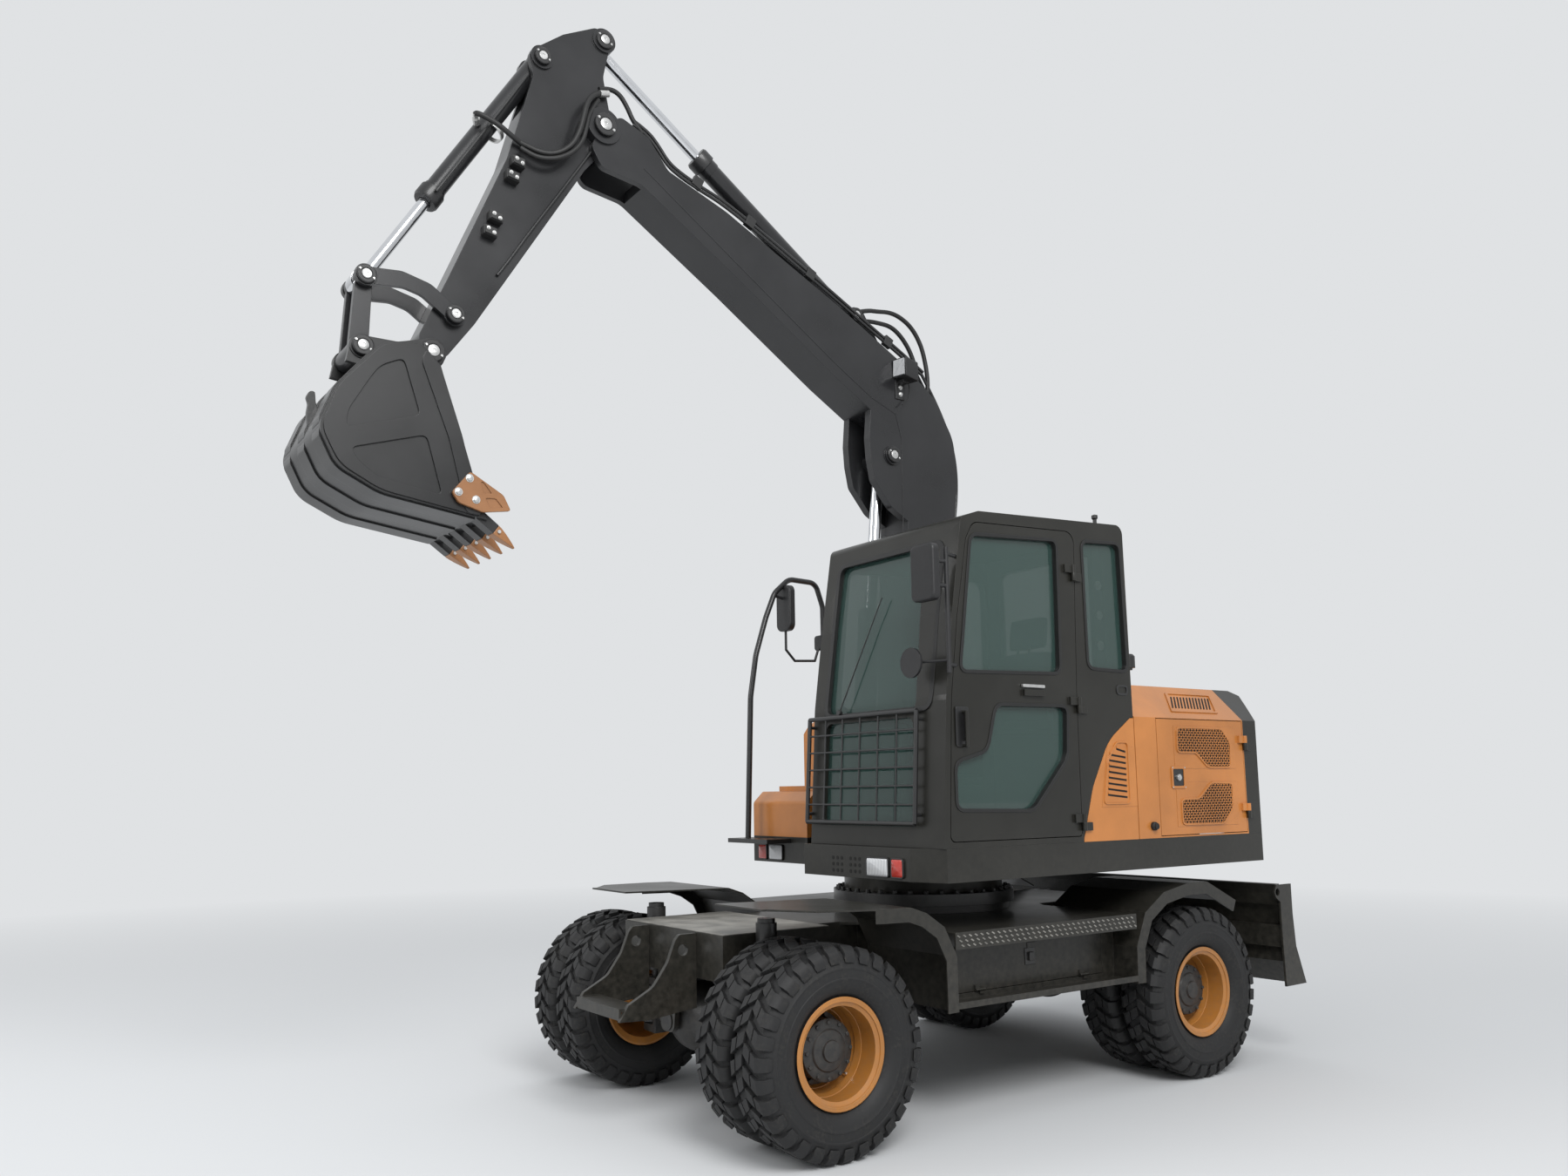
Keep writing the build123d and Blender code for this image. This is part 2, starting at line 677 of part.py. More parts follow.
def blade_link(rise, width):
    """One pair of parallel links with their eyes."""
    low = (BLADE_PIVOT[0], BLADE_PIVOT[1] + rise)
    high = (BLADE_EYE[0], BLADE_EYE[1] + rise)
    links = None
    for side in (1, -1):
        y = sorted((side * (BLADE_ARM_Y - width), side * (BLADE_ARM_Y + width)))
        link = side_plate(
            [along(low, high, 0, 24), along(low, high, 0, -24)]
            + [along(high, low, 0, 24), along(high, low, 0, -24)],
            y,
        )
        for place in (low, high):
            link += pin_y(place, 34, y)
        for place in (low, high):
            link -= pin_y(place, 20 + PIN_PLAY, (y[0] - 1, y[1] + 1))
        links = link if links is None else links + link
    return links


nodes["blade_arms"] = blade_link(0, 25)
nodes["blade_upper_links"] = blade_link(BLADE_LINK_RISE, 18)


def blade_mount():
    """Bracket at the back of the carrier that carries the links' pins."""
    x, z = BLADE_PIVOT
    mount = box((-1240, CARRIER_REAR_X - FIT), (-BLADE_ARM_Y - 60, BLADE_ARM_Y + 60), (640.3, DECK_TOP))
    mount -= box((-1241, CARRIER_REAR_X), (-70, 70), (630, DECK_TOP - 15))
    for side in (1, -1):
        for inner in (BLADE_ARM_Y - 52, BLADE_ARM_Y + 32):
            y = sorted((side * inner, side * (inner + 20)))
            mount += side_plate(
                [
                    (-1230, DECK_TOP),
                    (-1230, 640.3),
                    (-1290, z - 40),
                    (x, z - 42),
                    (x - 38, z),
                    (x - 38, z + BLADE_LINK_RISE),
                    (x, z + BLADE_LINK_RISE + 42),
                    (-1290, DECK_TOP),
                ],
                y,
            )
        for rise in (0, BLADE_LINK_RISE):
            y = sorted((side * (BLADE_ARM_Y - 52), side * (BLADE_ARM_Y + 52)))
            mount += pin_y((x, z + rise), 20, y)
    for side in (1, -1):
        y = sorted((side * 38, side * 54))
        mount += side_plate(
            [(-1260, 740), (-1215, 740), (-1170, 760), (-1170, DECK_TOP), (-1240, DECK_TOP)], y
        )
    mount += pin_y(BLADE_CYL_BASE, 18, (-54, 54))
    return mount


nodes["blade_mount"] = blade_mount()



def distance(a, b):
    return hypot(a[0] - b[0], a[1] - b[1])


# ---- hydraulic cylinders
def cylinder(name, base, eye, tube, rod, widths, pin, middle_y=BOOM_Y):
    """Barrel with a bored base eye, and a rod whose eye owns its own stretch of pin.

    tube is (length from the base pin, outer radius); rod is (radius, its buried end from the base
    pin, the stroke left to run in); widths are the half widths of the base eye and the rod's eye.
    """
    length = hypot(eye[0] - base[0], eye[1] - base[1])

    def at(reach):
        place = along(base, eye, reach)
        return (place[0], middle_y, place[1])

    base_y = (middle_y - widths[0], middle_y + widths[0])
    eye_y = (middle_y - widths[1], middle_y + widths[1])
    barrel = pin_y(base, pin + 22, base_y)
    barrel += bar(at(pin + 8), at(tube[0]), tube[1])
    barrel += bar(at(tube[0] - 70), at(tube[0]), tube[1] + 4)
    barrel -= pin_y(base, pin + PIN_PLAY, (base_y[0] - 1, base_y[1] + 1))
    barrel -= bar(at(rod[1] - rod[2] - 15), at(tube[0] + 1), rod[0] + PIN_PLAY)
    stem = bar(at(rod[1]), at(length - pin), rod[0])
    stem += pin_y(eye, pin + 20, eye_y)
    nodes[name + "_barrel"] = barrel
    nodes[name + "_rod"] = stem


# name, base pin, rod pin, barrel (length, radius), rod (radius, buried end, stroke in), half widths,
# pin radius, plane
CYLINDERS = (
    ("boom_cylinder", BOOM_CYL_BASE, BOOM_CYL_EYE, (1324, 62), (34, 980, 826), (64, 45), 32, BOOM_Y),
    ("stick_cylinder", ARM_CYL_BASE, ARM_CYL_EYE, (1177, 52), (30, 820, 612), (45, 45), 30, BOOM_Y),
    ("bucket_cylinder", BUCKET_CYL_BASE, LINK_TOP, (994, 48), (27, 480, 354), (45, 42), 27, BOOM_Y),
    ("blade_cylinder", BLADE_CYL_BASE, BLADE_CYL_EYE, (450, 34), (18, 80, 0), (32, 28), 18, 0),
)
for cylinder_row in CYLINDERS:
    cylinder(*cylinder_row)


# ---- boom
BOOM_TOP = [
    (1875, 4875),
    (1711, 4811),
    (1597, 4667),
    (1245, 4544),
    (476, 4180),
    (49, 3958),
    (-200, 3790),
    (-345, 3560),
    (-372, 3300),
    (-315, 3000),
    (FOOT[0] - 78, FOOT[1] + 20),
]
BOOM_UNDER = [
    (FOOT[0] + 78, FOOT[1] + 20),
    (28, 3022),
    (22, 3490),
    (80, 3560),
    (276, 3627),
    (532, 3776),
    (1162, 4184),
    (1751, 4548),
    (1975, 4575),
    (2040, 4680),
]


def boom():
    rounds_top = [40, 60, 60, 400, 500, 300, 260, 260, 300, 300, 60]
    rounds_under = [60, 500, 60, 60, 200, 500, 500, 120, 60, 60]
    body = side_plate(BOOM_TOP + BOOM_UNDER, boom_y(-BOOM_HALF, BOOM_HALF), rounds_top + rounds_under)
    body += pin_y(FOOT, 82, boom_y(-BOOM_HALF, BOOM_HALF))
    body += pin_y(STICK_PIN, 92, boom_y(-BOOM_HALF - 12, BOOM_HALF + 12))
    # the fork at the tip: only the two ears stand beside the stick
    fork = [(1600, 4750), (1560, 5000), (2300, 5000), (2300, 4400), (1740, 4400), (1740, 4600)]
    body -= side_plate(fork, boom_y(-STICK_HALF - 8, STICK_HALF + 8))
    # belly lugs for the lifting cylinder's rod
    lug = [(10, 3010), (150, 3090), (268, 3230), (292, 3350), (300, 3470), (285, 3640), (10, 3560)]
    for side in (1, -1):
        y = layer(side, 73, BOOM_HALF)
        body += side_plate(lug, y, rounds=[0, 60, 60, 80, 60, 0, 0])
        body += pin_y(BOOM_CYL_EYE, 56, layer(side, 52, BOOM_HALF + 12))
    body += pin_y(STICK_PIN, 35, boom_y(-BOOM_HALF - 20, BOOM_HALF + 20))
    body -= pin_y(FOOT, 35 + PIN_PLAY, boom_y(-BOOM_HALF - 1, BOOM_HALF + 1))
    return [body, stick_cylinder_bracket() - body]


def stick_cylinder_bracket():
    """Two plates standing on the boom's back, with the pin of the stick cylinder's base."""
    x, z = ARM_CYL_BASE
    shape = [(x - 190, z - 160), (x - 60, z + 30), (x, z + 52), (x + 60, z + 30), (x + 190, z + 20)]
    bracket = pin_y(ARM_CYL_BASE, 30, boom_y(-90, 90))
    for side in (1, -1):
        bracket += side_plate(shape, layer(side, 52, 80), rounds=[0, 30, 40, 30, 0])
    return bracket


nodes["boom"] = boom()


# ---- stick
def stick():
    shape = [
        (1905, 5290),
        (1985, 5335),
        (2169, 5229),
        (2353, 5075),
        (2325, 4960),
        (2454, 4497),
        (2731, 3835),
        (2872, 3510),
        (2755, 3430),
        (2604, 3641),
        (2050, 4553),
        (1885, 4760),
        (1950, 5078),
    ]
    rounds = [60, 40, 60, 60, 30, 200, 200, 60, 60, 200, 100, 80, 100]
    body = side_plate(shape, boom_y(-STICK_HALF, STICK_HALF), rounds)
    body += pin_y(STICK_PIN, 95, boom_y(-STICK_HALF - 4, STICK_HALF + 4))
    body += pin_y(BUCKET_PIN, 68, boom_y(-106, 106))
    body += pin_y(ARM_CYL_EYE, 62, boom_y(-STICK_HALF - 10, STICK_HALF + 10))
    # the tail is a fork with room for the rod's eye, and so is the bucket cylinder's lug
    body -= pin_y(ARM_CYL_EYE, 190, boom_y(-52, 52))
    body += pin_y(BUCKET_CYL_BASE, 58, boom_y(-STICK_HALF - 10, STICK_HALF + 10))
    body -= pin_y(BUCKET_CYL_BASE, 68, boom_y(-54, 54))
    groove = [along(BUCKET_CYL_BASE, LINK_TOP, 0, 75), along(BUCKET_CYL_BASE, LINK_TOP, 0, -75)]
    groove += [along(BUCKET_CYL_BASE, LINK_TOP, 400, -75), along(BUCKET_CYL_BASE, LINK_TOP, 400, 75)]
    body -= side_plate(groove, boom_y(-54, 54))
    body += pin_y(BUCKET_CYL_BASE, 27, boom_y(-94, 94))
    body += pin_y(ROCKER_PIN, 52, boom_y(-STICK_HALF - 3, STICK_HALF + 3))
    body += pin_y(ROCKER_PIN, 28, boom_y(-118, 118))
    body -= pin_y(STICK_PIN, 35 + PIN_PLAY, boom_y(-100, 100))
    body -= pin_y(BUCKET_PIN, PIN_RADIUS + PIN_PLAY, boom_y(-120, 120))
    return body


nodes["stick"] = stick()


def rocker():
    """The two curved arms between the stick and the cylinder's rod."""
    arms = []
    for side in (1, -1):
        y = layer(side, 87, 106)
        bend = along(ROCKER_PIN, LINK_TOP, 200, 75)
        shape = [
            along(ROCKER_PIN, bend, 0, 38),
            along(ROCKER_PIN, bend, 160, 38),
            along(bend, LINK_TOP, 60, 38),
            along(LINK_TOP, bend, 0, -38),
            along(LINK_TOP, bend, 0, 38),
            along(bend, LINK_TOP, 60, -36),
            along(ROCKER_PIN, bend, 160, -36),
            along(ROCKER_PIN, bend, 0, -38),
        ]
        arm = side_plate(shape, y, rounds=[0, 90, 90, 0, 0, 90, 90, 0])
        arm += pin_y(ROCKER_PIN, 50, y)
        arm += pin_y(LINK_TOP, 48, layer(side, 87, 112))
        arm -= pin_y(ROCKER_PIN, 28 + PIN_PLAY, (y[0] - 1, y[1] + 1))
        arms.append(arm)
    return arms


nodes["rocker"] = rocker()


def bucket_link():
    """The fork that pulls the bucket: two bars from one boss."""
    link = pin_y(LINK_PIN, 48, boom_y(-106, 106))
    for side in (1, -1):
        y = layer(side, 48, 80)
        link += side_plate(
            [
                along(LINK_PIN, LINK_TOP, 0, 42),
                along(LINK_TOP, LINK_PIN, 0, -36),
                along(LINK_TOP, LINK_PIN, 0, 36),
                along(LINK_PIN, LINK_TOP, 0, -42),
            ],
            y,
        )
        link += pin_y(LINK_TOP, 44, y)
    return link - pin_y(LINK_PIN, 28 + PIN_PLAY, boom_y(-110, 110))


nodes["bucket_link"] = bucket_link()


# ---- bucket
BUCKET_BACK = [
    (2839, 3331),
    (2925, 3408),
    (3085, 3388),
    (3268, 3165),
    (3338, 2985),
    (3262, 2832),
    (3080, 2744),
    (2620, 2680),
]
BUCKET_ROUNDS = [0, 40, 120, 150, 110, 130, 250, 0]
BUCKET_SKIN = 14
BUCKET_LIP = BUCKET_BACK[-1]
TOOTH_TIP = (2479, 2576)
TOOTH_HALF = 32
TOOTH_ROOT = 55
TOOTH_REACH = distance(BUCKET_LIP, TOOTH_TIP)
TOOTH_COUNT = 5
TOOTH_PITCH = (BUCKET_HALF * 2 - 90) / (TOOTH_COUNT - 1)
TOOTH_PLACES = [BOOM_Y + (i - (TOOTH_COUNT - 1) / 2) * TOOTH_PITCH for i in range(TOOTH_COUNT)]


def tooth_outline(start, end, half_start, half_end):
    """A wedge along the teeth's line, between two reaches from the lip."""
    return [
        along(BUCKET_LIP, TOOTH_TIP, start, half_start),
        along(BUCKET_LIP, TOOTH_TIP, end, half_end),
        along(BUCKET_LIP, TOOTH_TIP, end, -half_end),
        along(BUCKET_LIP, TOOTH_TIP, start, -half_start),
    ]


def bucket():
    mouth = [(2645, 2722), (2742, 3028)]
    y_out = boom_y(-BUCKET_HALF, BUCKET_HALF)
    body = side_plate(BUCKET_BACK + mouth, y_out, BUCKET_ROUNDS + [0, 200])
    hollow = inset(BUCKET_BACK, BUCKET_SKIN)
    hollow = [(2780, 3371), *hollow[1:-1], (2520, 2680), (2520, 2800)]
    rounds = [0, 30, 106, 136, 96, 116, 236, 0, 0]
    body -= side_plate(hollow, boom_y(-BUCKET_HALF + 20, BUCKET_HALF - 20), rounds)
    for side in (1, -1):
        x, z = BUCKET_PIN
        u, w = LINK_PIN
        ear = [
            (x - 10, z - 118),
            (x - 58, z - 20),
            (x - 40, z + 46),
            (x + 25, z + 55),
            ((x + u) / 2, z + 15),
            (u - 25, w + 50),
            (u + 48, w + 15),
            (u + 65, w - 75),
            (u - 60, w - 90),
            (x + 110, z - 80),
        ]
        ear_plate = side_plate(ear, layer(side, 112, 136), rounds=[0, 40, 30, 30, 60, 30, 30, 0, 0, 0])
        ear_plate += pin_y(BUCKET_PIN, 62, layer(side, 112, 142))
        ear_plate += pin_y(LINK_PIN, 54, layer(side, 112, 142))
        body += ear_plate
    body += pin_y(BUCKET_PIN, PIN_RADIUS, boom_y(-148, 148))
    body += pin_y(LINK_PIN, 28, boom_y(-148, 148))
    # adapters welded over the lip carry the teeth
    for y in TOOTH_PLACES:
        body += side_plate(tooth_outline(-90, TOOTH_ROOT, 24, 22), (y - TOOTH_HALF, y + TOOTH_HALF))
    # wear strips on the outside of each side plate
    for side in (1, -1):
        y = layer(side, BUCKET_HALF, BUCKET_HALF + 10)
        body += side_plate([(2652, 2745), (2745, 3035), (2795, 3020), (2700, 2730)], y)
    return body


nodes["bucket"] = bucket()


def bucket_teeth():
    """Five pointed teeth on their adapters' noses, and the two side cutters."""
    teeth = []
    for y in TOOTH_PLACES:
        outline_points = tooth_outline(TOOTH_ROOT + FIT, TOOTH_REACH, 22, 3)
        teeth.append(side_plate(outline_points, (y - TOOTH_HALF, y + TOOTH_HALF)))
    for side in (1, -1):
        y = layer(side, BUCKET_HALF + 10 + FIT, BUCKET_HALF + 30)
        cutter = side_plate(
            [(2650, 2705), (2526, 2725), (2560, 2790), (2711, 2875), (2790, 2777), (2760, 2735)],
            y,
            rounds=[10, 4, 10, 20, 20, 10],
        )
        teeth.append(cutter)
    return teeth


nodes["bucket_teeth"] = bucket_teeth()


# ---- house frame
def deck_plan(front_left, front_right, z):
    """The house's plan: straight sides, chamfered corner and round tail."""
    plan = [
        (front_left, CAB_RIGHT_Y),
        (front_left, 880),
        (front_left - 60, HOUSE_HALF),
        (-TAIL_RADIUS, HOUSE_HALF),
        (-TAIL_RADIUS, -HOUSE_HALF),
        (front_right, -HOUSE_HALF),
        (front_right, -500),
        (GAP_FRONT_X, -500),
        (GAP_FRONT_X, CAB_RIGHT_Y),
    ]
    return flat_plate(plan, z) & bar((0, 0, z[0]), (0, 0, z[1]), TAIL_RADIUS)


GAP_FRONT_X = 430
FLOOR = 18
RAIL = 40
BRACKET_INNER = BOOM_HALF + 6
BRACKET_PLATE = 25


def house_frame():
    frame = deck_plan(HOUSE_FRONT_X, SIDE_FRONT_X, (RAIL_LOW, RAIL_TOP))
    hollow = deck_plan(HOUSE_FRONT_X - RAIL, SIDE_FRONT_X - RAIL, (RAIL_LOW + FLOOR, RAIL_TOP + 1))
    hollow &= box((-TAIL_RADIUS + 60, 2000), (-HOUSE_HALF + RAIL, HOUSE_HALF - RAIL), (0, 3000))
    hollow -= box((-2000, 2000), (CAB_RIGHT_Y - 1, CAB_RIGHT_Y + 30), (0, 3000))
    hollow -= box((-2000, 2000), (-510, -480), (0, 3000))
    frame -= hollow
    # the gap in front of the boom stays low and open
    frame -= box(
        (BAY_FRONT_X, GAP_FRONT_X + 1), (-480, CAB_RIGHT_Y - 1), (RAIL_LOW + FLOOR, RAIL_TOP + 1)
    )
    frame += bar((0, 0, RACE_TOP + FIT), (0, 0, RAIL_LOW), 430)
    return frame


nodes["house_frame"] = house_frame()


def boom_bracket():
    """Two upright plates that carry the boom's foot pin and the lifting cylinder's base pin."""
    x, z = FOOT
    low = RAIL_LOW + FLOOR + 0.3
    parts = None
    for side in (1, -1):
        plate = side_plate(
            [
                (-500, low),
                (-500, low + 120),
                (-150, z - 60),
                (x - 75, z + 30),
                (x, z + 85),
                (x + 75, z + 30),
                (x + 110, z - 150),
                (GAP_FRONT_X - 20, low + 60),
                (GAP_FRONT_X, low),
            ],
            layer(side, BRACKET_INNER, BRACKET_INNER + BRACKET_PLATE),
            rounds=[0, 60, 100, 60, 60, 60, 120, 20, 0],
        )
        plate += pin_y(FOOT, 70, layer(side, BRACKET_INNER, BRACKET_INNER + BRACKET_PLATE + 12))
        lug_x, lug_z = BOOM_CYL_BASE
        lug = side_plate(
            [
                (lug_x - 110, low),
                (lug_x - 55, lug_z + 30),
                (lug_x, lug_z + 58),
                (lug_x + 55, lug_z + 30),
                (GAP_FRONT_X, low),
            ],
            layer(side, 70, 98),
            rounds=[0, 30, 30, 30, 0],
        )
        parts = plate + lug if parts is None else parts + plate + lug
    cross = box((-420, -395), boom_y(-BRACKET_INNER, BRACKET_INNER), (low, low + 180))
    parts += cross
    parts += pin_y(FOOT, 35, boom_y(-BRACKET_INNER - 45, BRACKET_INNER + 45))
    parts += pin_y(BOOM_CYL_BASE, 32, boom_y(-104, 104))
    return parts


nodes["boom_bracket"] = boom_bracket()

# ---- cab
CAB_SIDE = [
    (822, RAIL_TOP + 0.3),
    (783, 1913),
    (727, 2315),
    (655, 2760),
    (540, 2800),
    (-500, 2850),
    (-512, 1850),
    (-495, RAIL_TOP + 0.3),
]
CAB_ROUNDS = [0, 300, 500, 40, 40, 50, 0, 0]
DOOR_REAR_X = -91
DOOR_SHAPE = [
    (DOOR_REAR_X, 1262),
    (DOOR_REAR_X - 4, 1942),
    (DOOR_REAR_X - 34, 2775),
    (580, 2745),
    (628, 2660),
    (700, 2290),
    (752, 1913),
    (786, 1262),
]
DOOR_ROUNDS = [20, 0, 60, 60, 60, 300, 300, 30]
DOOR_UPPER = [(596, 2682), (8, 2716), (18, 2054), (690, 2035)]
DOOR_LOWER = [(470, 1888), (-20, 1894), (-6, 1643), (240, 1395), (738, 1406), (738, 1620), (535, 1672)]
QUARTER = [(-178, 2733), (-470, 2750), (-486, 2085), (-187, 2090)]
SWOOP = [(-95, 1200), (-100, 1255), (-180, 1500), (-312, 1731), (-490, 1850), (-800, 1850), (-800, 1200)]
SWOOP_ROUNDS = [0, 0, 300, 300, 0, 0, 0]


def cab_outer():
    shell = side_plate(CAB_SIDE, (CAB_RIGHT_Y, HOUSE_HALF), CAB_ROUNDS)
    return shell


def window(points, y, rounds=45):
    return side_plate(points, y, [rounds] * len(points))


def front_window(low, high, inset_low, inset_high):
    """A cutter through the front for a pane between two heights."""
    return cross_plate(
        [
            (CAB_RIGHT_Y + inset_low, low),
            (HOUSE_HALF - 100 - inset_low, low),
            (HOUSE_HALF - 130 - inset_high, high),
            (CAB_RIGHT_Y + 10 + inset_high, high),
        ],
        (560, 900),
        rounds=[40] * 4,
    )


WINDSCREEN = (1872, 2660, 100, 100)
LOWER_SCREEN = (1330, 1835, 95, 92)
REAR_WINDOW = [(CAB_RIGHT_Y + 130, 2120), (930, 2120), (930, 2720), (CAB_RIGHT_Y + 130, 2720)]
RIGHT_WINDOW = [(560, 2650), (-440, 2690), (-440, 1950), (650, 1920)]


def cab_shell():
    wall = CAB_WALL
    outer = cab_outer()
    inner_side = inset(CAB_SIDE, -wall)
    inner_side[0] = (CAB_SIDE[0][0] - wall, RAIL_TOP + wall)
    inner_side[-1] = (CAB_SIDE[-1][0] + wall, RAIL_TOP + wall)
    inner = side_plate(inner_side, (CAB_RIGHT_Y + wall, HOUSE_HALF - wall))
    shell = outer - inner
    left = (HOUSE_HALF - wall - 1, HOUSE_HALF + 1)
    shell -= side_plate(DOOR_SHAPE, left, DOOR_ROUNDS)
    shell -= window(QUARTER, left)
    shell -= side_plate(SWOOP, left, SWOOP_ROUNDS)
    shell -= window(RIGHT_WINDOW, (CAB_RIGHT_Y - 1, CAB_RIGHT_Y + wall + 1), 60)
    shell -= front_window(*WINDSCREEN)
    shell -= front_window(*LOWER_SCREEN)
    shell -= cross_plate(REAR_WINDOW, (-620, -440), rounds=[50] * 4)
    return shell


nodes["cab_shell"] = cab_shell()
PANE = 6


def cab_glass():
    """The fixed panes, each lying in its opening."""
    middle = CAB_WALL / 2
    side = (HOUSE_HALF - middle - PANE, HOUSE_HALF - middle)
    panes = [window(QUARTER, side)]
    side = (CAB_RIGHT_Y + middle, CAB_RIGHT_Y + middle + PANE)
    panes.append(window(RIGHT_WINDOW, side, 60))
    front = [(x - middle, z) for x, z in CAB_SIDE[:4]]
    strip = side_plate(front + inset(front, -PANE)[::-1], (CAB_RIGHT_Y, HOUSE_HALF))
    panes.append(front_window(*WINDSCREEN) & strip)
    panes.append(front_window(*LOWER_SCREEN) & strip)
    panes.append(cross_plate(REAR_WINDOW, (-490, -484), rounds=[50] * 4))
    return panes


nodes["cab_glass"] = cab_glass()

DOOR_HINGE = (DOOR_REAR_X - 2, HOUSE_HALF + 14)
HINGE_HEIGHTS = (1330, 1900, 2560)


def upright_hinges(place, heights, strap):
    """Hinges about a line along Z: fixed halves and door halves, with flat straps to each side."""
    x, y = place
    face = sorted((y, y - 14 if y > 0 else y + 14))
    fixed, moving = [], []
    for z in heights:
        still, turning = hinge_knuckles((x, y, z), (0, 0, 1), 40)
        still += box(sorted((x, x - strap)), face, (z - 40, z))
        turning += box(sorted((x, x + strap)), face, (z + FIT, z + 40))
        turning -= bar((x, y, z - 1), (x, y, z + 41), 6 + PIN_PLAY)
        fixed.append(still)
        moving.append(turning)
    return fixed, moving


def cab_door():
    clear = 4
    plan = inset(DOOR_SHAPE + DOOR_SHAPE[:2], clear)[1:-1]
    plan = plan[-1:] + plan[:-1]
    door = side_plate(plan, (HOUSE_HALF - CAB_WALL, HOUSE_HALF), DOOR_ROUNDS)
    cut = (HOUSE_HALF - CAB_WALL - 1, HOUSE_HALF + 1)
    door -= window(DOOR_UPPER, cut)
    door -= window(DOOR_LOWER, cut, 25)
    for part in upright_hinges(DOOR_HINGE, HINGE_HEIGHTS, 60)[1]:
        door += part
    # grab handle near the front edge, and the latch under the upper window
    door += bar((690, HOUSE_HALF + 30, 1690), (690, HOUSE_HALF + 30, 1850), 9)
    for z in (1694, 1846):
        door += bar((690, HOUSE_HALF - 5, z), (690, HOUSE_HALF + 30, z), 8)
    door += box((150, 290), (HOUSE_HALF, HOUSE_HALF + 16), (1935, 1965))
    return door


nodes["cab_door"] = cab_door()
door_pane_y = (HOUSE_HALF - CAB_WALL / 2 - PANE, HOUSE_HALF - CAB_WALL / 2)
nodes["cab_door_glass"] = [window(DOOR_UPPER, door_pane_y), window(DOOR_LOWER, door_pane_y, 25)]

for hinge_half in upright_hinges(DOOR_HINGE, HINGE_HEIGHTS, 60)[0]:
    nodes["cab_shell"] += hinge_half


def seat():
    """Seat on its pedestal with armrests."""
    middle = 560
    z = RAIL_TOP + CAB_WALL
    parts = box((-170, 200), (middle - 190, middle + 190), (z, z + 260))
    parts += side_plate(
        [(-210, z + 260), (300, z + 260), (320, z + 330), (280, z + 375), (-190, z + 360)],
        (middle - 240, middle + 240),
        rounds=[10, 20, 30, 30, 20],
    )
    parts += side_plate(
        [(-240, z + 330), (-130, z + 330), (-200, z + 900), (-240, z + 960), (-330, z + 960)],
        (middle - 220, middle + 220),
        rounds=[10, 20, 60, 20, 20],
    )
    parts += side_plate(
        [(-255, z + 955), (-325, z + 955), (-345, z + 1130), (-275, z + 1130)],
        (middle - 130, middle + 130),
        rounds=[10, 10, 25, 25],
    )
    return parts


nodes["seat"] = seat()


def controls():
    """Side consoles with joysticks, and the steering column with its wheel."""
    z = RAIL_TOP + CAB_WALL
    parts = []
    for y in (222, 822):
        console = box((-160, 330), (y, y + 75), (z, z + 480))
        console += bar((280, y + 37, z + 480), (300, y + 37, z + 610), 14)
        console += bar((300, y + 37, z + 600), (304, y + 37, z + 690), 22)
        parts.append(console)
    column = bar((600, 560, z), (500, 560, z + 500), 45)
    rim = Plane(origin=(485, 560, z + 575), z_dir=(-0.2, 0, 1))
    column += bar((500, 560, z + 495), (486, 560, z + 572), 24)
    column += rim * Torus(165, 15)
    column += rim * Box(310, 26, 14)
    parts.append(column & box((0, 900), (300, 820), (z, z + 900)))
    return parts


nodes["controls"] = controls()


def guard():
    """The bar grille in front of the lower windscreen."""
    x0 = CAB_SIDE[0][0]
    bars = None
    low, high = 1345, 1862
    lean = (CAB_SIDE[1][0] - x0) / (CAB_SIDE[1][1] - CAB_SIDE[0][1])

    def front(z):
        return x0 + lean * (z - RAIL_TOP) + 34

    y = (CAB_RIGHT_Y + 6, 900)
    pieces = []
    for i in range(7):
        z = low + (high - low) * i / 6
        radius = 11 if i in (0, 6) else 5
        pieces.append(bar((front(z), y[0], z), (front(z), y[1], z), radius))
    for i in range(7):
        across = y[0] + (y[1] - y[0]) * i / 6
        radius = 11 if i in (0, 6) else 5
        pieces.append(bar((front(low), across, low), (front(high), across, high), radius))
    for z in (low + 40, high - 40):
        for across in y:
            pieces.append(bar((front(z) - 36, across, z), (front(z), across, z), 8))
    bars = pieces[0]
    for piece in pieces[1:]:
        bars += piece
    return bars - cab_outer()


nodes["windscreen_guard"] = guard()


# ---- engine bay and covers
BAY_SECTION = [
    (-HOUSE_HALF, RAIL_TOP + 0.3),
    (-HOUSE_HALF, HOOD_SIDE_TOP),
    (-880, HOOD_TOP),
    (880, HOOD_TOP),
    (HOUSE_HALF, HOOD_SIDE_TOP),
    (HOUSE_HALF, RAIL_TOP + 0.3),
]
COVER = 30
SERVICE_X = (BAY_REAR_X + 10, BAY_FRONT_X - 6)
SERVICE_Z = (RAIL_TOP + 12, HOOD_SIDE_TOP - 6)


